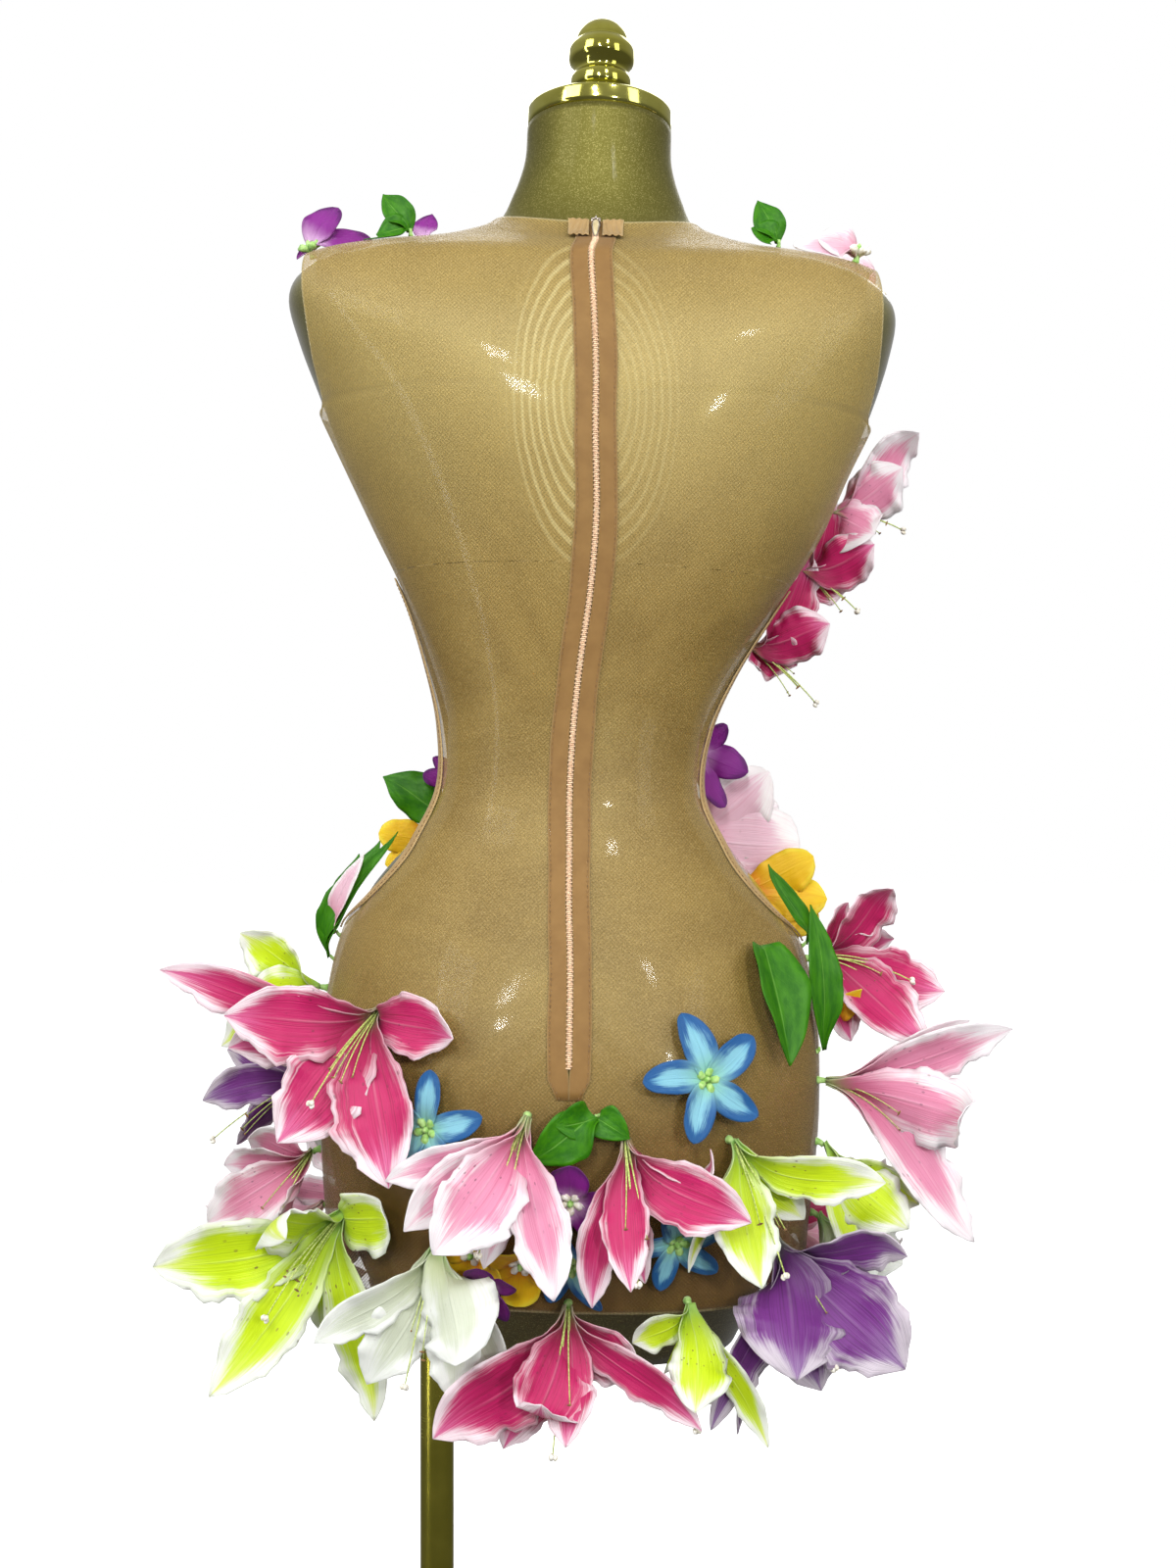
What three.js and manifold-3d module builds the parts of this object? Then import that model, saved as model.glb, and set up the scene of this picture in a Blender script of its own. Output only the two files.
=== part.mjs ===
// A sheer mini dress of nude stretch net with silk lilies, orchids and leaves sewn to it, on a limbless
// gold dress form with a pole stand. Millimetres, +Z up. The origin is the centre of the stand's foot, on
// the floor; the wearer's back faces -Y and the wearer's right is +X.
import * as THREE from "three";
import { mergeVertices } from "three/addons/utils/BufferGeometryUtils.js";
import Module from "manifold-3d";

const wasm = await Module();
wasm.setup();

// ---- Driving dimensions ------------------------------------------------------------------------------
const WAIST_Z = 990; // height of the waist above the floor
const BODY_X = 94; // the waist's centre from the pole's axis
const LEAN = THREE.MathUtils.degToRad(1.8); // the form leans this far towards +X
const GAP = 0.3; // between pieces that touch
const CLOTH_OFF = 1.5; // the net's inner face from the form
const CLOTH_WALL = 1; // the net's thickness
const CLOTH_OUT = CLOTH_OFF + CLOTH_WALL;
const TRIM_IN = CLOTH_OUT + GAP; // where bands and tapes start
const TRIM_WALL = 0.8;
const BAND_IN = TRIM_IN + 0.95; // the bands bridge the net's hollows
const BAND_WIDTH = 7; // the folded band round each side cut-out
const ZIP_HALF = 1.6; // half the width of the closed zip
const ZIP_THICK = 2.6;
const TAPE_WIDTH = 11;
const ZIP_END_UP = -166; // where the zip and its tape end, above the waist line
const TAPE_END_UP = -184;
const POLE_R = 11;
const POLE_SINK = 90; // how far the pole runs up inside the form
const FOOT_R = 165;
const FOOT_H = 16;
const BOSS_H = 18; // the foot's collar round the pole
const SOCKET_Z = 4;
const CAP_R = 48;
const CAP_H = 13;

// The form, from its lower end to its neck. up is above the waist line; half, back and front reach from the
// centre line; fore and sway move the centre towards +Y and +X; square fills out the corners; dip_b and
// dip_f lower the ring's middle behind and in front. The net stands off the form by ease_s, ease_b and
// ease_f at its sides, back and front.
const SECTIONS = table(`
  up   half back front fore square dip_b dip_f sway ease_s ease_b ease_f
  -355 114  82   70    0    .03    0     0     1    40     30     20
  -310 135  100  78    0    .03    0     0     1    20     16     11
  -280 147  113  84    0    .03    0     0     1    9      6      5
  -245 156  121  87    0    .03    0     0     1    3      2      2
  -205 161  124  88    0    .02    0     0     1    0      0      0
  -155 160  119  85    0    .01    0     0     0    0      0      0
  -110 150  105  82    0    .01    0     0     -1   2      2      2
  -75  133  89   77    0    .01    0     0     -3   3      5      3
  -40  105  71   70    0    .01    0     0     -4   6      10     3
  -5   78   57   62    0    .01    0     0     -5   12     16     6
  35   78   56   61    0    .01    0     0     -4   11     16     6
  75   95   66   66    0    .01    0     0     -1   5      10     4
  120  120  79   76    0    .01    0     0     4    0      4      2
  165  145  90   94    0    .01    0     0     6    0      0      0
  210  166  95   104   0    .02    0     0     4    0      0      1
  250  182  94   99    0    .04    0     0     3    3      2      6
  282  193  89   86    0    .07    0     3     1    4      4      4
  307  197  79   72    0    .09    1     10    -1   5      7      5
  326  186  72   60    0    .08    3     18    -2   6      8      6
  338  164  67   53    0    .06    5     28    0    2      2      2
  346  129  60   47    0    .04    7     37    0    0      0      0
  355  94   53   43    0    .02    10    46    0    0      0      0
  367  67   47   41    0    0      13    53    0    0      0      0
  388  56   44   44    3    0      11    34    0    0      0      0
  412  49   45   46    6    0      5     12    0    0      0      0
  436  48   48   48    9    0      0     0     0    0      0      0`);
const HEM = 1; // the section where the net ends below
const NECKLINE = 22; // and above
const NECK_TOP = SECTIONS.length - 1;

// Soft fullness added to the back or the front of a section: reach, at the height up, spread over rise.
const FULLNESS = table(`
  behind up   rise reach at   spread
  1      -175 75   9     .42  .25
  1      250  60   4     .42  .25
  0      205  45   16    .42  .22`);

// The opening at each side of the waist: how far its edge lies behind and in front of the side line.
const SIDE_OPENING = table(`
  up   depth
  -101 0
  -90  26
  -75  41
  -55  44
  -30  37
  0    28
  30   22
  65   15
  100  8
  135  0`);

// The armhole's edge, from the centre line.
const ARMHOLE = table(`
  up  reach
  240 184
  262 188
  300 190
  326 190`);

// ---- Tables and small sums ---------------------------------------------------------------------------
function table(text) {
  const [names, ...rows] = text.trim().split("\n").map((line) => line.trim().split(/\s+/));
  const value = (word) => (Number.isNaN(Number(word)) ? word : Number(word));
  return rows.map((row) => Object.fromEntries(names.map((name, i) => [name, value(row[i])])));
}

function along(rows, s) {
  const i = Math.min(Math.max(Math.floor(s), 0), rows.length - 2);
  const f = s - i;
  const mixed = {};
  for (const key of Object.keys(rows[0])) {
    const b = rows[i][key];
    const c = rows[i + 1][key];
    const a = i > 0 ? rows[i - 1][key] : 2 * b - c;
    const d = i + 2 < rows.length ? rows[i + 2][key] : 2 * c - b;
    mixed[key] = b + 0.5 * f * (c - a + f * (2 * a - 5 * b + 4 * c - d + f * (3 * (b - c) + d - a)));
  }
  return mixed;
}

function lookUp(rows, x, key) {
  const last = rows.length - 1;
  if (x <= rows[0].up) return rows[0][key];
  if (x >= rows[last].up) return rows[last][key];
  const i = rows.findIndex((row) => row.up > x);
  const f = (x - rows[i - 1].up) / (rows[i].up - rows[i - 1].up);
  return rows[i - 1][key] + f * (rows[i][key] - rows[i - 1][key]);
}

function solve(low, high, test) {
  for (let i = 0; i < 40; i++) {
    const middle = (low + high) / 2;
    if (test(middle)) low = middle;
    else high = middle;
  }
  return low;
}

const bell = (x) => Math.exp(-x * x);
const vec = (x, y, z) => new THREE.Vector3(x, y, z);

// ---- The body's surface ------------------------------------------------------------------------------
// Angle 0 is the centre back, 90 degrees the side towards +X and 180 degrees the centre front.
function ringPoint(row, angle, eased) {
  const s = Math.sin(angle);
  const c = Math.cos(angle);
  const behind = c > 0;
  const fill = 1 - row.square;
  const half = row.half + eased * row.ease_s;
  const depth = behind ? row.back + eased * row.ease_b : row.front + eased * row.ease_f;
  const x = row.sway + (half * (s + row.square * Math.sin(3 * angle))) / fill;
  let y = row.fore - (depth * (c - row.square * Math.cos(3 * angle))) / fill;
  for (const full of FULLNESS) {
    if (Boolean(full.behind) !== behind) continue;
    const sideways = bell((Math.abs(s) - full.at) / full.spread) * Math.min(1, 2 * Math.abs(c));
    y -= Math.sign(c) * full.reach * bell((row.up - full.up) / full.rise) * sideways;
  }
  return vec(x, y, row.up - (behind ? row.dip_b : row.dip_f) * c * c);
}

function surfaceNormal(s, angle, eased) {
  const step = 1e-3;
  const at = (ds, da) => ringPoint(along(SECTIONS, s + ds), angle + da, eased);
  const round = at(0, step).sub(at(0, -step));
  const upwards = at(step, 0).sub(at(-step, 0));
  return round.cross(upwards).normalize();
}

// A point of the net (eased 1) or the form (eased 0), moved out along the normal.
function skin(s, angle, out, eased = 1) {
  const point = ringPoint(along(SECTIONS, s), angle, eased);
  return out ? point.addScaledVector(surfaceNormal(s, angle, eased), out) : point;
}

const sectionAt = (up) => solve(0, NECK_TOP, (s) => along(SECTIONS, s).up < up);
const angleAtReach = (s, x) => {
  const row = along(SECTIONS, s);
  return solve(0, Math.PI / 2, (a) => ringPoint(row, a, 1).x - row.sway < x);
};

// The angle where a panel ends at its side: the side seam, the waist opening or the armhole. front is 1 for
// the front panel and -1 for the back ones.
function sideEdge(s, front) {
  const row = along(SECTIONS, s);
  const side = Math.PI / 2;
  const seam = GAP / (row.back + row.front);
  const open = lookUp(SIDE_OPENING, row.up, "depth");
  const arm = lookUp(ARMHOLE, row.up, "reach");
  const armed = row.up > ARMHOLE[0].up && row.half + CLOTH_OUT > arm && row.half > CAP_R * 3;
  if (!armed && open <= 0) return side + front * seam;
  const inside = armed
    ? (turn) => ringPoint(row, side + front * turn, 1).x - row.sway > arm
    : (turn) => Math.abs(ringPoint(row, side + front * turn, 1).y - row.fore) < open;
  return side + front * Math.max(seam, solve(0, side, inside));
}

// Moves a point straight out from the body's centre line until it is that far off the form's surface.
function clearOfBody(point, out) {
  const s = sectionAt(point.z);
  const row = along(SECTIONS, s);
  const dx = point.x - row.sway;
  const dy = point.y - row.fore;
  const bearing = Math.atan2(dx, -dy);
  let angle = bearing;
  let edge;
  for (let i = 0; i < 6; i++) {
    edge = skin(s, angle, out);
    const found = Math.atan2(edge.x - row.sway, -(edge.y - row.fore));
    angle += Math.atan2(Math.sin(bearing - found), Math.cos(bearing - found));
  }
  const reach = Math.hypot(edge.x - row.sway, edge.y - row.fore);
  const grow = Math.max(1, reach / Math.max(Math.hypot(dx, dy), 1));
  return vec(row.sway + dx * grow, row.fore + dy * grow, point.z);
}

// ---- Solids ------------------------------------------------------------------------------------------
function geometryOf(points, triangles) {
  const geometry = new THREE.BufferGeometry();
  geometry.setAttribute("position", new THREE.Float32BufferAttribute(points.flatMap((p) => p.toArray()), 3));
  geometry.setIndex(triangles);
  return geometry;
}

const quad = (a, b, c, d) => [a, b, c, a, c, d];
const quadOtherWay = (a, b, c, d) => [b, c, d, b, d, a];

// A thin wedge's ring runs edge, outer middle, edge, inner middle: both its faces are split along matching lines.
const wedgeQuad = (side, ...corners) => (side < 2 ? quad : quadOtherWay)(...corners);

// A thin wall between outer(i, j) and inner(i, j), for i to rows and j to columns, closed at its edges.
function wall(rows, columns, outer, inner) {
  const points = [];
  const triangles = [];
  const index = (i, j, side) => 2 * (i * (columns + 1) + j) + side;
  for (let i = 0; i <= rows; i++) for (let j = 0; j <= columns; j++) points.push(outer(i, j), inner(i, j));
  for (let i = 0; i < rows; i++) {
    for (let j = 0; j < columns; j++) {
      const [a, b, c, d] = [[i, j], [i, j + 1], [i + 1, j + 1], [i + 1, j]];
      triangles.push(...quad(index(...a, 0), index(...b, 0), index(...c, 0), index(...d, 0)));
      triangles.push(...quad(index(...a, 1), index(...d, 1), index(...c, 1), index(...b, 1)));
    }
  }
  const rim = [];
  for (let j = 0; j < columns; j++) rim.push([0, j]);
  for (let i = 0; i < rows; i++) rim.push([i, columns]);
  for (let j = columns; j > 0; j--) rim.push([rows, j]);
  for (let i = rows; i > 0; i--) rim.push([i, 0]);
  rim.forEach((from, k) => {
    const to = rim[(k + 1) % rim.length];
    triangles.push(...quad(index(...from, 0), index(...from, 1), index(...to, 1), index(...to, 0)));
  });
  return geometryOf(points, triangles);
}

// A solid through rings of points, closed by a fan at each end. A ring of one point is a tip.
function loft(rings, split = (k, ...corners) => quad(...corners)) {
  const points = rings.flat();
  const starts = rings.map((_, i) => rings.slice(0, i).reduce((sum, ring) => sum + ring.length, 0));
  const triangles = [];
  for (let i = 0; i + 1 < rings.length; i++) {
    const count = Math.max(rings[i].length, rings[i + 1].length);
    const at = (ring, k) => starts[ring] + (k % rings[ring].length);
    for (let k = 0; k < count; k++) {
      if (rings[i + 1].length === 1) triangles.push(at(i, k), at(i, k + 1), starts[i + 1]);
      else triangles.push(...split(k, at(i, k), at(i, k + 1), at(i + 1, k + 1), at(i + 1, k)));
    }
  }
  const fan = (ring, flip) => {
    for (let k = 1; k + 1 < rings[ring].length; k++) {
      const [a, b] = flip ? [k + 1, k] : [k, k + 1];
      triangles.push(starts[ring], starts[ring] + a, starts[ring] + b);
    }
  };
  fan(0, true);
  fan(rings.length - 1, false);
  return geometryOf(points, triangles);
}

function solidOf(geometry) {
  const bare = new THREE.BufferGeometry().setAttribute("position", geometry.getAttribute("position"));
  if (geometry.index) bare.setIndex(geometry.index);
  const merged = mergeVertices(bare, 1e-4);
  const solid = new wasm.Manifold(
    new wasm.Mesh({
      numProp: 3,
      vertProperties: merged.getAttribute("position").array,
      triVerts: new Uint32Array(merged.index.array),
    }),
  );
  if (solid.volume() < 0) throw new Error("a piece is inside out");
  return solid;
}

function geometryFrom(solid) {
  const mesh = solid.getMesh();
  const geometry = new THREE.BufferGeometry();
  geometry.setAttribute("position", new THREE.BufferAttribute(new Float32Array(mesh.vertProperties), 3));
  geometry.setIndex(new THREE.BufferAttribute(new Uint32Array(mesh.triVerts), 1));
  return geometry;
}

const joined = (geometries) =>
  geometryFrom(geometries.map(solidOf).reduce((whole, piece) => whole.add(piece)));

// ---- Materials ---------------------------------------------------------------------------------------
const material = (color, roughness, metalness = 0) =>
  new THREE.MeshStandardMaterial({ color, roughness, metalness });
const NET = material(0xb59a63, 0.6);
const BAND = material(0xb08f5c, 0.65);
const TAPE = material(0xb98f5f, 0.7);
const COIL = material(0xe3c3a0, 0.5);
const PULL = material(0xe8dcc0, 0.3, 0.6);
const PAINT = material(0x8f8440, 0.35, 0.8);
const BRASS = material(0xb5a528, 0.12, 1);
const LEAF = material(0x2f7d12, 0.45);
const PETALS = {
  hot: material(0xd8306f, 0.6),
  blush: material(0xe79ab4, 0.6),
  lime: material(0xd8e83a, 0.6),
  white: material(0xe6eadf, 0.6),
  violet: material(0x7a3a94, 0.6),
  sky: material(0x4aa3d4, 0.6),
  gold: material(0xe8bd1c, 0.6),
  plum: material(0x8a1a86, 0.6),
  shell: material(0xe8d3da, 0.6),
};

function mesh(name, geometry, itsMaterial) {
  const made = new THREE.Mesh(geometry, itsMaterial);
  made.name = name;
  return made;
}

// ---- The form and its stand --------------------------------------------------------------------------
const inOrder = (rows) => rows.sort((a, b) => a - b);
const OPENING_ENDS = [0, 1, SIDE_OPENING.length - 1].map((i) => sectionAt(SIDE_OPENING[i].up));
const ROWS = inOrder([...SECTIONS.keys(), ...OPENING_ENDS]);
const CLOTH_ROWS = inOrder([7.5, 8.5, 9.5, 10.5, 11.5, ...ROWS.filter((s) => s >= HEM && s <= NECKLINE)]);
const FORM_SIDES = 32;

const torso = new THREE.Group();
torso.position.set(BODY_X, 0, WAIST_Z);
torso.rotation.y = LEAN;
torso.updateMatrix();

const HOLE_TOP = WAIST_Z + SECTIONS[0].up + POLE_SINK;

function dressForm() {
  const ring = (s) =>
    Array.from({ length: FORM_SIDES }, (_, k) => skin(s, (k / FORM_SIDES) * 2 * Math.PI, 0, 0));
  const depth = 2 * POLE_SINK;
  const hole = new THREE.CylinderGeometry(POLE_R + GAP, POLE_R + GAP, depth, 20);
  hole.rotateX(Math.PI / 2).translate(0, 0, HOLE_TOP - depth / 2);
  hole.applyMatrix4(torso.matrix.clone().invert());
  return geometryFrom(solidOf(loft(ROWS.map(ring))).subtract(solidOf(hole)));
}

function turned(profile, sides) {
  const points = profile.map(([r, z]) => new THREE.Vector2(r, z));
  return new THREE.LatheGeometry(points, sides).rotateX(Math.PI / 2);
}

function neckCap() {
  const edge = 2;
  return turned(
    [[0, 0], [CAP_R, 0], [CAP_R + 0.5, CAP_H - edge], [CAP_R - edge, CAP_H], [0, CAP_H]],
    28,
  );
}

// A turned knob: a foot ring, a groove, a wide ring, a groove and a dome.
function finial() {
  const profile = [[0, 0], [21, 0], [21.5, 4]];
  const rings = [[15, 20.5, 6], [31, 22, 7]];
  for (const [height, radius, half] of rings) {
    profile.push([radius - 3, height - half], [radius, height - half / 2]);
    profile.push([radius, height + half / 2], [radius - 3, height + half]);
  }
  for (let k = 0; k < 4; k++) {
    const a = (k / 4) * (Math.PI / 2);
    profile.push([18 * Math.cos(a), 43 + 18 * Math.sin(a)]);
  }
  profile.push([0, 61]);
  return turned(profile, 18);
}

// The round foot, with a socket that takes the pole.
function foot() {
  const lip = 4;
  const boss = POLE_R + 7;
  const top = FOOT_H + BOSS_H;
  return turned(
    [[0, 0], [FOOT_R, 0], [FOOT_R, FOOT_H - 10], [FOOT_R - lip, FOOT_H - 6], [boss + 4, FOOT_H],
     [boss, FOOT_H + 4], [boss, top], [POLE_R + GAP, top], [POLE_R + GAP, SOCKET_Z], [0, SOCKET_Z]],
    36,
  );
}

function pole() {
  const bottom = SOCKET_Z + GAP;
  const top = HOLE_TOP - GAP;
  const tube = new THREE.CylinderGeometry(POLE_R, POLE_R, top - bottom, 20);
  return tube.rotateX(Math.PI / 2).translate(0, 0, (top + bottom) / 2);
}

// ---- The net, its bands and its zip ------------------------------------------------------------------
const CLOTH_COLUMNS = 8;

// One panel of net: between angles from(s) and to(s), as a wall from inner to outer, off the form.
function panel(rows, columns, from, to, inner, outer) {
  const point = (i, j, out) => {
    const a = from(rows[i]);
    return skin(rows[i], a + ((to(rows[i]) - a) * j) / columns, out);
  };
  return wall(rows.length - 1, columns, (i, j) => point(i, j, outer), (i, j) => point(i, j, inner));
}

const zipEdge = (s) => angleAtReach(s, ZIP_HALF + GAP);

function backPanel(side) {
  const ends = [zipEdge, (s) => sideEdge(s, -1)].map((edge) => (s) => side * edge(s));
  if (side < 0) ends.reverse();
  return panel(CLOTH_ROWS, CLOTH_COLUMNS, ...ends, CLOTH_OFF, CLOTH_OUT);
}

const frontPanel = () =>
  panel(
    CLOTH_ROWS,
    2 * CLOTH_COLUMNS,
    (s) => sideEdge(s, 1),
    (s) => 2 * Math.PI - sideEdge(s, 1),
    CLOTH_OFF,
    CLOTH_OUT,
  );

// A folded band, sewn along a panel's edge at the waist opening.
function band(side, front) {
  const rows = CLOTH_ROWS.filter((s) => s >= OPENING_ENDS[0] && s <= OPENING_ENDS.at(-1));
  const edge = (s) => sideEdge(s, front);
  const inwards = (s) => edge(s) + (front * BAND_WIDTH) / bandScale(s, edge(s));
  const ends = [inwards, edge].map((e) => (s) => side * e(s));
  if (side * front > 0) ends.reverse();
  return panel(rows, 1, ...ends, BAND_IN, BAND_IN + TRIM_WALL);
}

// Millimetres of the net for each radian, round the body at that angle.
const bandScale = (s, angle) => skin(s, angle + 0.01, 0).distanceTo(skin(s, angle - 0.01, 0)) / 0.02;

function rowsBetween(low, high) {
  return [low, ...CLOTH_ROWS.filter((s) => s > low + 0.3 && s < high - 0.3), high];
}

const SLIDER_S = NECKLINE - 0.55;

function zipTape(side) {
  const rows = rowsBetween(sectionAt(TAPE_END_UP), NECKLINE - 0.02);
  const ends = [zipEdge, (s) => angleAtReach(s, ZIP_HALF + GAP + TAPE_WIDTH)].map((e) => (s) => side * e(s));
  if (side < 0) ends.reverse();
  return panel(rows, 1, ...ends, TRIM_IN, TRIM_IN + TRIM_WALL);
}

function zipCoil() {
  const rows = rowsBetween(sectionAt(ZIP_END_UP), SLIDER_S - 0.62);
  const edge = (s) => angleAtReach(s, ZIP_HALF);
  return panel(rows, 2, (s) => -edge(s), edge, CLOTH_OFF, CLOTH_OFF + ZIP_THICK);
}

// A doubled tab of net that closes the neckline beside the zip.
function neckTab(side) {
  const ends = [6.5, 19].map((x) => (s) => side * angleAtReach(s, x));
  if (side < 0) ends.reverse();
  const tapeOut = TRIM_IN + TRIM_WALL + 3 * GAP;
  return panel([NECKLINE - 1.45, NECKLINE - 0.7, NECKLINE - 0.03], 2, ...ends, tapeOut, tapeOut + TRIM_WALL);
}

// The slider's frame: x across the zip, y up along it, z out of the cloth.
function sliderFrame() {
  const at = skin(SLIDER_S, 0, TRIM_IN + TRIM_WALL + 1.1);
  const upwards = skin(SLIDER_S + 0.3, 0, TRIM_IN).sub(skin(SLIDER_S - 0.3, 0, TRIM_IN)).normalize();
  const out = vec(1, 0, 0).cross(upwards).normalize();
  return new THREE.Matrix4().makeBasis(vec(1, 0, 0), upwards, out).setPosition(at);
}

const PIN_R = 0.6;
const PIN_HIGH = 4.6;
const EAR_X = 2.5;

function block(w, l, h, x, y, z) {
  return new THREE.BoxGeometry(w, l, h).translate(x, y, z);
}

function zipSlider() {
  const ear = (x) => block(1, 2.4, PIN_HIGH, x, 0, PIN_HIGH / 2 + 0.5);
  const pin = new THREE.CylinderGeometry(PIN_R, PIN_R, 2 * EAR_X, 10).rotateZ(Math.PI / 2);
  return joined([block(6.4, 9, 2, 0, 0.4, 1), ear(-EAR_X), ear(EAR_X), pin.translate(0, 0, PIN_HIGH)]);
}

// The pull tab hangs from the slider's pin; its own frame has the pin on its x axis.
const PULL_LENGTH = 20;

function zipPull() {
  const eye = new THREE.CylinderGeometry(1.9, 1.9, 2.6, 16).rotateZ(Math.PI / 2);
  const bore = new THREE.CylinderGeometry(PIN_R + 0.35, PIN_R + 0.35, 4, 12).rotateZ(Math.PI / 2);
  const outline = new THREE.Shape();
  outline.moveTo(-1.2, -0.6);
  outline.lineTo(1.2, -0.6);
  outline.bezierCurveTo(1.5, -6, 2.6, -9, 2.5, -13);
  outline.bezierCurveTo(2.4, -17, 1.6, -PULL_LENGTH, 0, -PULL_LENGTH);
  outline.bezierCurveTo(-1.6, -PULL_LENGTH, -2.4, -17, -2.5, -13);
  outline.bezierCurveTo(-2.6, -9, -1.5, -6, -1.2, -0.6);
  const blade = new THREE.ExtrudeGeometry(outline, { depth: 1.1, bevelEnabled: false, curveSegments: 5 });
  blade.translate(0, 0, -0.55);
  return geometryFrom(solidOf(eye).add(solidOf(blade)).subtract(solidOf(bore)));
}

// ---- Silk flowers and leaves -------------------------------------------------------------------------
// A petal's middle line leaves the flower's throat at from degrees off its axis. wide is its width as a share
// of its length, full the place of its widest point, cup the depth of its trough and blunt its tip's shape.
const PETAL_SHAPES = {
  broad: { wide: 0.42, full: 0.52, cup: 0.18, from: 20, blunt: 0.8 },
  slim: { wide: 0.26, full: 0.5, cup: 0.22, from: 26, blunt: 0.85 },
  round: { wide: 0.9, full: 0.6, cup: 0.1, from: 50, blunt: 0.5 },
  oval: { wide: 0.56, full: 0.55, cup: 0.14, from: 50, blunt: 0.6 },
};
// Each kind of flower: its petals in turn, the steps along each, how far they vary, its throat and its foot.
const KINDS = {
  lily: { petals: ["broad", "slim"], count: 6, steps: 4, vary: 9, throat: 7, deep: 12, foot: 4, rise: 5 },
  orchid: { petals: ["round", "oval", "round", "oval", "oval"], count: 5, steps: 3, vary: 5, throat: 4,
    deep: 3, foot: 3, rise: 3 },
  star: { petals: ["oval"], count: 5, steps: 3, vary: 5, throat: 4, deep: 3, foot: 3, rise: 3 },
};
const PETAL_WALL = 1.2;
const PETAL_OFF = 3.2; // a petal stays this far off the net, and clear of the bands
const LEAF_OFF = 2.4;
const LEAF_WALL = 1.2;
const LEAF_STEPS = 5;

// A number from -1 to 1 that looks random but is always the same for a and b.
function scatter(a, b) {
  const x = Math.sin(a * 12.9898 + b * 78.233) * 43758.5453;
  return 2 * (x - Math.floor(x)) - 1;
}

function petalWidth(shape, u, start) {
  if (u >= shape.full) return Math.max(0, 1 - ((u - shape.full) / (1 - shape.full)) ** 2) ** shape.blunt;
  return start + (1 - start) * Math.sin(((u / shape.full) * Math.PI) / 2) ** 1.2;
}

// The rings of one petal in the flower's frame, whose axis is z: each is [left, outer, right, inner], and the
// last is the tip. The first lies on the throat's rim, where neighbours share their left and right points.
function petalRings(shape, kind, length, open, turn) {
  const radial = vec(Math.cos(turn), Math.sin(turn), 0);
  const sideways = vec(-Math.sin(turn), Math.cos(turn), 0);
  const fine = 6;
  const total = kind.steps * fine;
  const rimHalf = kind.throat * Math.tan(Math.PI / kind.count);
  const fullHalf = (length * shape.wide) / 2;
  const middle = vec(0, 0, kind.deep).addScaledVector(radial, kind.throat);
  const rings = [];
  for (let k = 0; k <= total; k++) {
    const u = k / total;
    const angle = THREE.MathUtils.degToRad(shape.from + (open - shape.from) * u ** 1.4);
    const forwards = vec(0, 0, Math.cos(angle)).addScaledVector(radial, Math.sin(angle));
    const inwards = vec(0, 0, Math.sin(angle)).addScaledVector(radial, -Math.cos(angle));
    if (k % fine === 0) {
      const half = fullHalf * petalWidth(shape, u, rimHalf / fullHalf);
      const at = (x, z) => middle.clone().addScaledVector(sideways, x).addScaledVector(inwards, z);
      const edge = k ? shape.cup * 2 * half : 0;
      const thick = PETAL_WALL / 2;
      if (k === total) rings.push([middle.clone()]);
      else rings.push([at(-half, edge), at(0, -thick), at(half, edge), at(0, thick)]);
    }
    middle.addScaledVector(forwards, length / total);
  }
  return rings;
}

// A flower's frame in the torso: turn from straight behind towards +X, lift above level, then roll.
function aim(turn, lift, roll) {
  const [t, l, r] = [turn, lift, roll].map(THREE.MathUtils.degToRad);
  const axis = vec(Math.sin(t) * Math.cos(l), -Math.cos(t) * Math.cos(l), Math.sin(l));
  const top = vec(0, 0, 1).addScaledVector(axis, -axis.z).normalize().applyAxisAngle(axis, r);
  return new THREE.Matrix4().makeBasis(top, axis.clone().cross(top), axis);
}

// Where the net's outer face lies at a section and an angle, and its normal there.
const ray = new THREE.Raycaster();
function seat(cloths, s, angle) {
  const normal = surfaceNormal(s, angle, 1);
  ray.set(skin(s, angle, 60), normal.clone().negate());
  const hit = ray.intersectObjects(cloths, false)[0];
  return { point: hit.point, normal: hit.face.normal };
}

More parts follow.
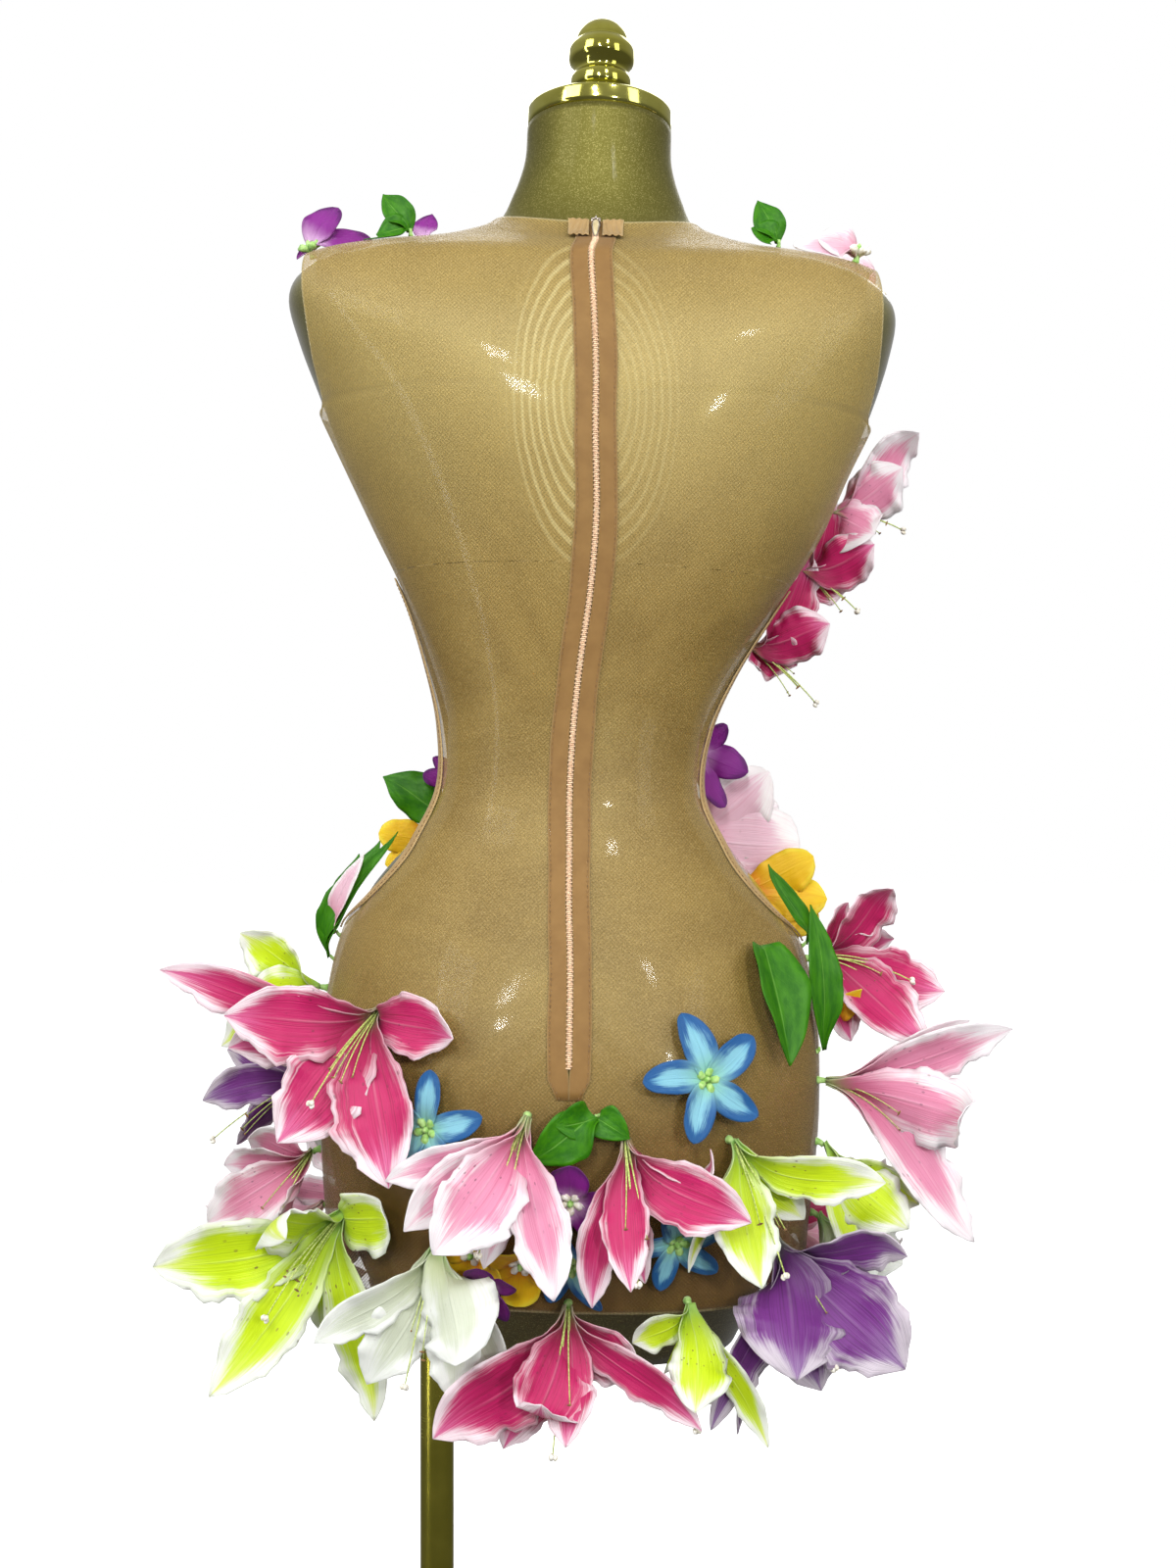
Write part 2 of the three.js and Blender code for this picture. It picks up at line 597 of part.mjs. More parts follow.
// One flower as one closed body: a foot on the net, a throat, and petals that spring from the throat's rim.
function flower(spec, number, place) {
  const kind = KINDS[spec.kind];
  const { point, normal } = place;
  const turnAt = (k) => (2 * Math.PI * k) / kind.count;
  const neck = point.clone().addScaledVector(normal, GAP + kind.rise);
  const frame = aim(spec.turn, spec.lift, spec.roll).setPosition(neck);
  const level = new THREE.Quaternion().setFromUnitVectors(axisOf(frame), normal);
  const points = [];
  const put = (p) => points.push(p) - 1;
  const ringAround = (radius, toPlace) =>
    Array.from({ length: 2 * kind.count }, (_, i) => {
      const a = turnAt((i - 1) / 2);
      return put(toPlace(vec(radius * Math.cos(a), radius * Math.sin(a), 0)));
    });
  const footOf = (p) =>
    p.applyMatrix4(frame).sub(neck).applyQuaternion(level).add(point).addScaledVector(normal, GAP);
  const foot = ringAround(kind.foot, footOf);
  const stem = ringAround(kind.foot * 0.7, (p) => p.applyMatrix4(frame));
  const petals = [];
  for (let k = 0; k < kind.count; k++) {
    const shape = PETAL_SHAPES[kind.petals[k % kind.petals.length]];
    const open = spec.open + kind.vary * scatter(number, k);
    const length = spec.long * (1 + 0.06 * scatter(number, k + 9));
    const rings = petalRings(shape, kind, length, open, turnAt(k));
    const off = (p, i) => {
      const more = i === 1 ? 0 : PETAL_WALL;
      return clearOfBody(p.applyMatrix4(frame), CLOTH_OUT + PETAL_OFF + more);
    };
    petals.push(rings.map((ring) => ring.map((p, i) => put(off(p, i)))));
  }
  petals.forEach((rings, k) => (rings[0][2] = petals[(k + 1) % kind.count][0][0]));
  const heart = put(vec(0, 0, kind.deep * 0.4).applyMatrix4(frame));
  const triangles = [];
  const around = 2 * kind.count;
  const rim = petals.flatMap((rings) => [rings[0][0], rings[0][1]]);
  for (let i = 0; i < around; i++) {
    const j = (i + 1) % around;
    triangles.push(...quad(foot[i], foot[j], stem[j], stem[i]), ...quad(stem[i], stem[j], rim[j], rim[i]));
    if (i > 0 && i + 1 < around) triangles.push(foot[0], foot[i + 1], foot[i]);
  }
  for (const rings of petals) {
    triangles.push(rings[0][0], rings[0][3], heart, rings[0][3], rings[0][2], heart);
    for (let k = 0; k + 1 < rings.length; k++) {
      for (let i = 0; i < 4; i++) {
        const [a, b] = [rings[k][i], rings[k][(i + 1) % 4]];
        if (rings[k + 1].length === 1) triangles.push(a, b, rings[k + 1][0]);
        else triangles.push(...wedgeQuad(i, a, b, rings[k + 1][(i + 1) % 4], rings[k + 1][i]));
      }
    }
  }
  return geometryOf(points, triangles);
}

const axisOf = (frame) => vec(0, 0, 0).setFromMatrixColumn(frame, 2);

// A leaf that springs from a place on the net. It runs at turn degrees from straight up, in the plane of the
// cloth, and rises off it by lift degrees. roll curls it back towards the cloth.
function leaf(spec, place) {
  const { point, normal } = place;
  const [turn, lift, roll] = [spec.turn, spec.lift, spec.roll].map(THREE.MathUtils.degToRad);
  const level = vec(0, 0, 1).cross(normal).normalize();
  const flat = normal.clone().cross(level).multiplyScalar(Math.cos(turn));
  flat.addScaledVector(level, -Math.sin(turn));
  const across = normal.clone().cross(flat).normalize();
  const thick = LEAF_WALL / 2;
  const middle = point.clone().addScaledVector(normal, GAP + thick);
  const rings = [];
  for (let k = 0; k <= LEAF_STEPS; k++) {
    const u = k / LEAF_STEPS;
    const rise = lift - roll * u;
    const forwards = flat.clone().multiplyScalar(Math.cos(rise)).addScaledVector(normal, Math.sin(rise));
    const out = forwards.clone().cross(across).normalize();
    const half = (spec.open / 2) * Math.sin(Math.PI * (0.12 + 0.88 * u) ** 0.8) ** 0.8;
    const edge = k ? half * 0.3 : 0;
    const clear = (x, z, more) => {
      const p = middle.clone().addScaledVector(across, x).addScaledVector(out, z);
      return k ? clearOfBody(p, CLOTH_OUT + LEAF_OFF + more) : p;
    };
    const tip = [clear(0, 0, thick)];
    const [right, left] = [clear(half, edge, thick), clear(-half, edge, thick)];
    rings.push(k === LEAF_STEPS ? tip : [right, clear(0, thick, 2 * thick), left, clear(0, -thick, 0)]);
    middle.addScaledVector(forwards, spec.long / LEAF_STEPS);
  }
  return loft(rings, wedgeQuad);
}

// Each flower or leaf: its kind and hue; where it is sewn (height up and angle round from the centre back);
// which way it faces (turn from straight behind towards +X, lift above level, roll about its own axis); its
// petals' length, and how far they open, in degrees off its axis. For a leaf, turn is its direction in the
// cloth from straight up, lift its rise off it, roll its curl and open its width.
const BLOOMS = table(`
  name              kind   hue    up   angle turn lift roll long open
  lily_01           lily   hot    -141 -43   -28  -26  30   112  95
  lily_02           lily   lime   -140 -88   -78  6    0    88   52
  lily_03           lily   violet -196 -82   -74  -18  30   82   44
  lily_04           lily   blush  -240 -78   -70  -48  0    74   42
  lily_05           lily   lime   -262 -51   -38  -30  24   110  72
  lily_06           lily   white  -266 -24   -22  -60  0    82   42
  lily_07           lily   blush  -193 -8    -30  -52  20   92   50
  lily_08           lily   hot    -203 11    16   -55  0    90   52
  lily_09           lily   lime   -206 33    42   -48  0    84   48
  lily_10           lily   violet -268 47    46   -46  0    106  60
  lily_11           lily   hot    -303 1     -4   -52  0    96   62
  lily_12           lily   lime   -302 25    16   -64  22   66   46
  lily_13           lily   blush  -184 73    74   -3   22   106  42
  lily_14           lily   hot    -112 91    76   6    0    88   52
  lily_15           lily   lime   -222 72    68   -52  0    65   46
  lily_16           lily   white  -272 80    76   -52  0    70   50
  lily_17           lily   shell  -300 107   107  -40  0    84   60
  lily_18           lily   white  -188 -110  -95  -20  0    84   60
  lily_19           lily   shell  -286 -96   -95  -40  20   84   54
  lily_20           lily   hot    -290 136   138  -45  0    90   62
  lily_21           lily   lime   -285 167   167  -45  0    90   62
  lily_22           lily   violet -290 199   199  -45  0    90   62
  lily_23           lily   blush  -285 228   231  -45  0    90   62
  orchid_blue_1     star   sky    -171 27    20   15   18   38   80
  orchid_blue_2     star   sky    -203 -27   -25  5    0    33   80
  orchid_plum_2     orchid plum   24   124   115  30   0    38   70
  orchid_shell_1    orchid shell  -36  142   112  8    0    38   75
  orchid_gold_2     orchid gold   -78  128   110  20   0    38   70
  orchid_plum_4     star   plum   332  -75   -40  60   0    44   60
  orchid_shell_2    orchid shell  334  60    30   75   0    32   70
  orchid_shell_3    orchid shell  330  100   70   60   0    46   70
  lily_26           lily   blush  192  104   98   5    0    62   52
  lily_27           lily   hot    154  106   100  -20  0    52   54
  lily_28           lily   hot    102  112   100  -25  0    66   54
  leaf_01           leaf   leaf   -192 6     94   12   20   38   26
  leaf_03           leaf   leaf   -95  50    176  8    16   76   28
  leaf_04           leaf   leaf   -166 73    -5   4    8    86   20
  leaf_07           leaf   leaf   344  -52   0    66   16   48   24
  leaf_08           leaf   leaf   344  62    0    70   20   52   24
`);

// ---- Assembly ----------------------------------------------------------------------------------------
const cloths = [
  mesh("dress_front", frontPanel(), NET),
  mesh("dress_back_right", backPanel(1), NET),
  mesh("dress_back_left", backPanel(-1), NET),
];

torso.add(mesh("dress_form", dressForm(), PAINT), ...cloths);

const cap = mesh("neck_cap", neckCap(), BRASS);
const capBottom = vec(0, SECTIONS[NECK_TOP].fore, SECTIONS[NECK_TOP].up + GAP);
cap.position.copy(capBottom);
const knob = mesh("finial", finial(), BRASS);
knob.position.copy(capBottom).add(vec(0, 0, CAP_H + GAP));
torso.add(cap, knob);

for (const [sideName, side] of [["right", 1], ["left", -1]]) {
  torso.add(mesh(`zip_tape_${sideName}`, zipTape(side), TAPE));
  torso.add(mesh(`neck_tab_${sideName}`, neckTab(side), BAND));
  for (const [panelName, front] of [["back", -1], ["front", 1]]) {
    torso.add(mesh(`cutout_band_${panelName}_${sideName}`, band(side, front), BAND));
  }
}
torso.add(mesh("zip_coil", zipCoil(), COIL));

const slider = mesh("zip_slider", zipSlider(), PULL);
const frameOfSlider = sliderFrame();
slider.applyMatrix4(frameOfSlider);
const tab = mesh("zip_pull", zipPull(), PULL);
tab.applyMatrix4(new THREE.Matrix4().makeTranslation(0, 0, PIN_HIGH).premultiply(frameOfSlider));
torso.add(slider, tab);

for (const [number, spec] of BLOOMS.entries()) {
  const place = seat(cloths, sectionAt(spec.up), THREE.MathUtils.degToRad(spec.angle));
  if (spec.kind === "leaf") torso.add(mesh(spec.name, leaf(spec, place), LEAF));
  else torso.add(mesh(spec.name, flower(spec, number, place), PETALS[spec.hue]));
}

const dress = new THREE.Group();
dress.add(torso, mesh("pole", pole(), BRASS), mesh("base", foot(), BRASS));

export default dress;
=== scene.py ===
"""A sheer mini dress of nude stretch net with silk lilies, orchids and leaves, on a limbless gold dress form.

Metres, +Z up, origin at the centre of the stand's foot. The wearer's back faces -Y and their right is +X.
Lengths in the tables are millimetres in the torso's own frame, whose origin is the centre of the waist.
"""
import math
import bpy
import numpy as np
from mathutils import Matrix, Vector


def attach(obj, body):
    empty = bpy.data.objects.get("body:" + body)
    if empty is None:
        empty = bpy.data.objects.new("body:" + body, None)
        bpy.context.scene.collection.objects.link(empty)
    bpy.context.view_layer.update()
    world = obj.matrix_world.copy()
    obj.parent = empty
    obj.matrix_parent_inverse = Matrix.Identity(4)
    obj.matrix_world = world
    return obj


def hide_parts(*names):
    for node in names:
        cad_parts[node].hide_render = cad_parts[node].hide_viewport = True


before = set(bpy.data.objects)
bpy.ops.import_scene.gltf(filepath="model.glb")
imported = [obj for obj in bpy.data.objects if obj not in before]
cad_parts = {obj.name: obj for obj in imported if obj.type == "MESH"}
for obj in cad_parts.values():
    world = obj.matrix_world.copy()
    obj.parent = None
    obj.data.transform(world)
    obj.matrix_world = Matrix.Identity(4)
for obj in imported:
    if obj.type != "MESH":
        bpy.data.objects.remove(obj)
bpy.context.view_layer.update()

# ---- Driving dimensions, as in the solids (mm) -------------------------------------------------------
WAIST_Z = 990
BODY_X = 94
LEAN = math.radians(1.8)
GAP = 0.3
CLOTH_OFF = 1.5
CLOTH_WALL = 0.6
CLOTH_OUT = 2.5
TRIM_IN = CLOTH_OUT + GAP
TRIM_WALL = 0.8
TAPE_WALL = TRIM_WALL * 0.7
BAND_IN = TRIM_IN + 0.4
BAND_WIDTH = 7
ZIP_HALF = 1.6
TAPE_WIDTH = 11
ZIP_END_UP = -166
TAPE_END_UP = -184
POLE_R = 11
POLE_SINK = 90
FOOT_R = 165
FOOT_H = 16
BOSS_H = 18
SOCKET_Z = 4
CAP_R = 48
CAP_H = 13
# these three are counted in the sections' rows, not in mm
HEM = 1
NECKLINE = 22
SLIDER_S = NECKLINE - 0.55
PIN_HIGH = 4.6
PETAL_OFF = 3.2
LEAF_OFF = 2.4
ARM_INSET = 12
COIL_PITCH = 1.25
RUFFLE_PITCH = 24.0
# a petal's tip is given as it looks from this far behind the wearer, so it grows with its flower's distance
EYE_AWAY = 900
LARGER_AT_AXIS = 0.17
# stamens reach this share of a petal, and of no longer petal than this
STAMEN_SHARE = 0.72
STAMEN_PETAL = 80
TUCKED_SEEDS = 60  # the small flowers' numbers start here, so their curls differ from the large ones'
SIDES = (("right", 1), ("left", -1))
WHITE = (1, 1, 1, 1)


def table(text):
    """A text table's rows, each a dictionary under the names in its first line."""
    names, *rows = [line.split() for line in text.strip().splitlines()]

    def value(word):
        try:
            return float(word)
        except ValueError:
            return word

    return [{n: value(w) for n, w in zip(names, row)} for row in rows]


def grouped(text):
    """A table in which a row of one word is a name, and belongs to all the rows under it."""
    names, *rows = text.strip().splitlines()
    lines, name = [names], ""
    for row in rows:
        if len(row.split()) == 1:
            name = row
        else:
            lines.append(name + row)
    return table("\n".join(lines))


SECTIONS = table("""
  up   half back front fore square dip_b dip_f sway ease_s ease_b ease_f
  -355 114  82   70    0    .03    0     0     1    40     30     20
  -310 135  100  78    0    .03    0     0     1    20     16     11
  -280 147  113  84    0    .03    0     0     1    9      6      5
  -245 156  121  87    0    .03    0     0     1    3      2      2
  -205 161  124  88    0    .02    0     0     1    0      0      0
  -155 160  119  85    0    .01    0     0     0    0      0      0
  -110 150  105  82    0    .01    0     0     -1   2      2      2
  -75  133  89   77    0    .01    0     0     -3   3      5      3
  -40  105  71   70    0    .01    0     0     -4   6      10     3
  -5   78   57   62    0    .01    0     0     -5   12     16     6
  35   78   56   61    0    .01    0     0     -4   11     16     6
  75   95   66   66    0    .01    0     0     -1   5      10     4
  120  120  79   76    0    .01    0     0     4    0      4      2
  165  145  90   94    0    .01    0     0     6    0      0      0
  210  166  95   104   0    .02    0     0     4    0      0      1
  250  182  94   99    0    .04    0     0     3    3      2      6
  282  193  89   86    0    .07    0     3     1    4      4      4
  307  197  79   72    0    .09    1     10    -1   5      7      5
  326  186  72   60    0    .08    3     18    -2   6      8      6
  338  164  67   53    0    .06    5     28    0    2      2      2
  346  129  60   47    0    .04    7     37    0    0      0      0
  355  94   53   43    0    .02    10     46    0    0      0      0
  367  67   47   41    0    0      13    53    0    0      0      0
  388  56   44   44    3    0      11    34    0    0      0      0
  412  49   45   46    6    0      5     12    0    0      0      0
  436  48   48   48    9    0      0     0     0    0      0      0
""")
FULLNESS = table("""
  behind up   rise reach at   spread
  1      -175 75   9     .42  .25
  1      250  60   4     .42  .25
  0      205  45   16    .42  .22
""")
SIDE_OPENING = table("""
  up   depth
  -101 0
  -90  26
  -75  41
  -55  44
  -30  37
  0    28
  30   22
  65   15
  100  8
  135  0
""")
ARMHOLE = table("""
  up  reach
  240 184
  262 188
  300 190
  326 190
""")


# ---- The body's surface ------------------------------------------------------------------------------
KEYS = list(SECTIONS[0])
GRID = np.array([[row[k] for k in KEYS] for row in SECTIONS])
LAST = len(GRID) - 1


def along(s):
    """The section's numbers at places s between rows, by a smooth curve through the rows."""
    s = np.asarray(s, float)
    i = np.clip(np.floor(s).astype(int), 0, LAST - 1)
    f = (s - i)[..., None]
    b, c = GRID[i], GRID[i + 1]
    a = np.where((i > 0)[..., None], GRID[np.maximum(i - 1, 0)], 2 * b - c)
    d = np.where((i + 2 <= LAST)[..., None], GRID[np.minimum(i + 2, LAST)], 2 * c - b)
    mixed = b + 0.5 * f * (c - a + f * (2 * a - 5 * b + 4 * c - d + f * (3 * (b - c) + d - a)))
    return {k: mixed[..., n] for n, k in enumerate(KEYS)}


def bell(x):
    return np.exp(-x * x)


def smoothstep(x):
    x = np.clip(x, 0, 1)
    return x * x * (3 - 2 * x)


def ring_point(s, angle, eased=1):
    row = along(s)
    angle = np.asarray(angle, float)
    sine, cosine = np.sin(angle), np.cos(angle)
    behind = cosine > 0
    fill = 1 - row["square"]
    half = row["half"] + eased * row["ease_s"]
    depth = np.where(behind, row["back"] + eased * row["ease_b"], row["front"] + eased * row["ease_f"])
    x = row["sway"] + half * (sine + row["square"] * np.sin(3 * angle)) / fill
    y = row["fore"] - depth * (cosine - row["square"] * np.cos(3 * angle)) / fill
    for full in FULLNESS:
        sideways = bell((np.abs(sine) - full["at"]) / full["spread"]) * np.minimum(1, 2 * np.abs(cosine))
        reach = full["reach"] * bell((row["up"] - full["up"]) / full["rise"]) * sideways
        y = y - np.where(behind == bool(full["behind"]), np.sign(cosine) * reach, 0)
    z = row["up"] - np.where(behind, row["dip_b"], row["dip_f"]) * cosine * cosine
    return np.stack(np.broadcast_arrays(x, y, z), -1)


def unit(v):
    return v / np.maximum(np.linalg.norm(v, axis=-1, keepdims=True), 1e-9)


def surface_normal(s, angle):
    step = 1e-3
    round_ = ring_point(s, angle + step) - ring_point(s, angle - step)
    upwards = ring_point(s + step, angle) - ring_point(s - step, angle)
    return unit(np.cross(round_, upwards))


def skin(s, angle, out=0.0):
    s, angle = np.broadcast_arrays(np.asarray(s, float), np.asarray(angle, float))
    out = np.asarray(out, float)
    return ring_point(s, angle) + out[..., None] * surface_normal(s, angle)


FINE_S = np.linspace(0, LAST, 2001)
FINE_UP = along(FINE_S)["up"]


def section_at(up):
    return np.interp(up, FINE_UP, FINE_S)


def look_up(rows, up, key, soften=0):
    ups = [row["up"] for row in rows]
    values = [row[key] for row in rows]
    offsets = np.linspace(-soften, soften, 9) if soften else [0]
    return np.mean([np.interp(np.asarray(up) + d, ups, values) for d in offsets], axis=0)


def solve(low, high, test):
    for _ in range(36):
        middle = (low + high) / 2
        inside = test(middle)
        low, high = np.where(inside, middle, low), np.where(inside, high, middle)
    return low


def angle_at_reach(s, x):
    s = np.asarray(s, float)
    sway = along(s)["sway"]
    start = np.zeros_like(s)
    return solve(start, start + math.pi / 2, lambda a: ring_point(s, a)[..., 0] - sway < x)


def side_edge(s, front):
    """The angle where a panel ends at its side: the side seam, the waist opening or the armhole."""
    s = np.asarray(s, float)
    row = along(s)
    side = math.pi / 2
    seam = GAP / (row["back"] + row["front"])
    opening = look_up(SIDE_OPENING, row["up"], "depth", 9)
    arm = look_up(ARMHOLE, row["up"], "reach") - ARM_INSET
    armed = (row["up"] > ARMHOLE[0]["up"]) & (row["half"] + CLOTH_OUT > arm) & (row["half"] > CAP_R * 3)
    start = np.zeros_like(s)

    def in_arm(turn):
        return ring_point(s, side + front * turn)[..., 0] - row["sway"] > arm

    def in_opening(turn):
        return np.abs(ring_point(s, side + front * turn)[..., 1] - row["fore"]) < opening

    by_arm = solve(start, start + side, in_arm)
    by_opening = solve(start, start + side, in_opening)
    turn = np.where(armed, by_arm, np.where(opening > 0, by_opening, 0))
    return side + front * np.maximum(seam, turn)


def clear_of_body(points, out):
    """Moves points straight out from the body's centre line until they are that far off the net."""
    s = section_at(points[..., 2])
    row = along(s)
    dx = points[..., 0] - row["sway"]
    dy = points[..., 1] - row["fore"]
    bearing = np.arctan2(dx, -dy)
    angle = bearing.copy()
    for _ in range(6):
        edge = skin(s, angle, out)
        found = np.arctan2(edge[..., 0] - row["sway"], -(edge[..., 1] - row["fore"]))
        angle += np.arctan2(np.sin(bearing - found), np.cos(bearing - found))
    reach = np.hypot(edge[..., 0] - row["sway"], edge[..., 1] - row["fore"])
    here = np.maximum(np.hypot(dx, dy), 1)
    grow = 1 + np.logaddexp(0, (reach / here - 1) * 50) / 50  # a soft bend where a petal meets its clearance
    return np.stack([row["sway"] + dx * grow, row["fore"] + dy * grow, points[..., 2]], -1)


def to_world(points):
    """Torso millimetres to metres in the row frame."""
    x, y, z = points[..., 0], points[..., 1], points[..., 2]
    c, s = math.cos(LEAN), math.sin(LEAN)
    return np.stack([BODY_X + x * c + z * s, y, WAIST_Z - x * s + z * c], -1) / 1000


# ---- Mesh building -----------------------------------------------------------------------------------
class Build:
    """Gathers vertices, faces, a shade vector for each vertex and a material number for each face."""

    def __init__(self):
        self.points, self.faces, self.shade, self.kinds = [], [], [], []
        self.count = 0

    def add(self, points, faces, shade=None, kind=0):
        points = np.asarray(points, float).reshape(-1, 3)
        shade = np.zeros((len(points), 3)) if shade is None else np.asarray(shade, float).reshape(-1, 3)
        self.points.append(points)
        self.shade.append(shade)
        self.faces += [tuple(int(i) + self.count for i in face) for face in faces]
        self.kinds += [kind] * len(faces)
        self.count += len(points)

    def object(self, name, materials, world=True):
        """The mesh as an object; without world, its points are in the row frame already."""
        points = np.concatenate(self.points)
        mesh = bpy.data.meshes.new(name)
        mesh.from_pydata((to_world(points) if world else points / 1000).tolist(), [], self.faces)
        layer = mesh.attributes.new("shade", "FLOAT_VECTOR", "POINT")
        layer.data.foreach_set("vector", np.concatenate(self.shade).astype(np.float32).ravel())
        for item in materials:
            mesh.materials.append(item)
        mesh.polygons.foreach_set("material_index", np.array(self.kinds, np.int32))
        mesh.polygons.foreach_set("use_smooth", np.full(len(self.faces), True))
        mesh.validate()
        mesh.update()
        made = bpy.data.objects.new(name, mesh)
        bpy.context.scene.collection.objects.link(made)
        return made


def grid_faces(rows, columns, wrap=False, flip=False):
    faces = []
    for i in range(rows - 1):
        for j in range(columns if wrap else columns - 1):
            k = (j + 1) % columns
            a, b = i * columns + j, i * columns + k
            c, d = (i + 1) * columns + k, (i + 1) * columns + j
            faces.append((a, d, c, b) if flip else (a, b, c, d))
    return faces


def shell_faces(rows, columns):
    """Faces of a thin closed wall whose outer grid comes first and inner grid second."""
    n = rows * columns
    faces = grid_faces(rows, columns)
    faces += [tuple(n + i for i in face) for face in grid_faces(rows, columns, flip=True)]
    rim = list(range(columns))
    rim += [i * columns + columns - 1 for i in range(1, rows)]
    rim += [(rows - 1) * columns + j for j in range(columns - 2, -1, -1)]
    rim += [i * columns for i in range(rows - 2, 0, -1)]
    for a, b in zip(rim, rim[1:] + rim[:1]):
        faces.append((a, n + a, n + b, b))
    return faces


def thick_sheet(build, middle, thickness, shade):
    """A grid of points given a thickness along its own normals."""
    rows, columns = middle.shape[:2]
    across = np.gradient(middle, axis=1)
    down = np.gradient(middle, axis=0)
    normal = unit(np.cross(across, down))
    half = thickness / 2
    both = np.concatenate([(middle + normal * half).reshape(-1, 3), (middle - normal * half).reshape(-1, 3)])
    build.add(both, shell_faces(rows, columns), np.tile(np.asarray(shade).reshape(-1, 3), (2, 1)))


def full_turn(count):
    return np.arange(count) * 2 * math.pi / count


def lengths_along(path):
    return np.concatenate([[0], np.cumsum(np.linalg.norm(np.diff(path, axis=0), axis=1))])


def points_at(at, far, path):
    """The points, or the one point, at given lengths along a path."""
    return np.stack([np.interp(at, far, path[:, i]) for i in range(3)], -1)


def tube(build, path, radius, sides, kind=0):
    """A closed round tube along a path; radius may vary along it."""
    path = np.asarray(path, float)
    radius = np.broadcast_to(np.asarray(radius, float), (len(path),))
    tangent = unit(np.gradient(path, axis=0))
    guide = np.array([0.3, 0.2, 0.93]) if abs(tangent[0][2]) < 0.9 else np.array([1.0, 0.1, 0])
    first = unit(np.cross(tangent[0], guide))
    rings = []
    for p, t, r in zip(path, tangent, radius):
        first = unit(first - t * np.dot(first, t))
        second = np.cross(t, first)
        turn = full_turn(sides)
        rings.append(p + r * (np.cos(turn)[:, None] * first + np.sin(turn)[:, None] * second))
    faces = grid_faces(len(path), sides, wrap=True)
    faces.append(tuple(range(sides))[::-1])
    faces.append(tuple((len(path) - 1) * sides + j for j in range(sides)))
    build.add(np.concatenate(rings), faces, kind=kind)


def blob(build, centre, axis, long, wide, kind):
    """A small closed pod, long along its axis."""
    steps = np.linspace(0.04, 0.96, 6)
    path = [np.asarray(centre) + np.asarray(axis) * (t - 0.5) * long for t in steps]
    tube(build, path, wide / 2 * np.sin(math.pi * steps) ** 0.6, 8, kind)


def capped(rings, sides):
    """Faces of a stack of rings and of the fans that close it; its lowest and highest points come last."""
    faces = grid_faces(rings, sides, wrap=True)
    low, high = rings * sides, rings * sides + 1
    for j in range(sides):
        k = (j + 1) % sides
        faces.append((low, k, j))
        faces.append((high, (rings - 1) * sides + j, (rings - 1) * sides + k))
    return faces


def scatter(a, b):
    """A repeatable number from -1 to 1 for two numbers."""
    x = math.sin(a * 12.9898 + b * 78.233) * 43758.5453
    return 2 * (x - math.floor(x)) - 1


# ---- Materials ---------------------------------------------------------------------------------------
def linear(red, green, blue):
    """A screen colour, 0 to 255, as the linear colour that shaders use."""
    def one(c):
        c /= 255
        return c / 12.92 if c <= 0.04045 else ((c + 0.055) / 1.055) ** 2.4
    return (one(red), one(green), one(blue), 1)


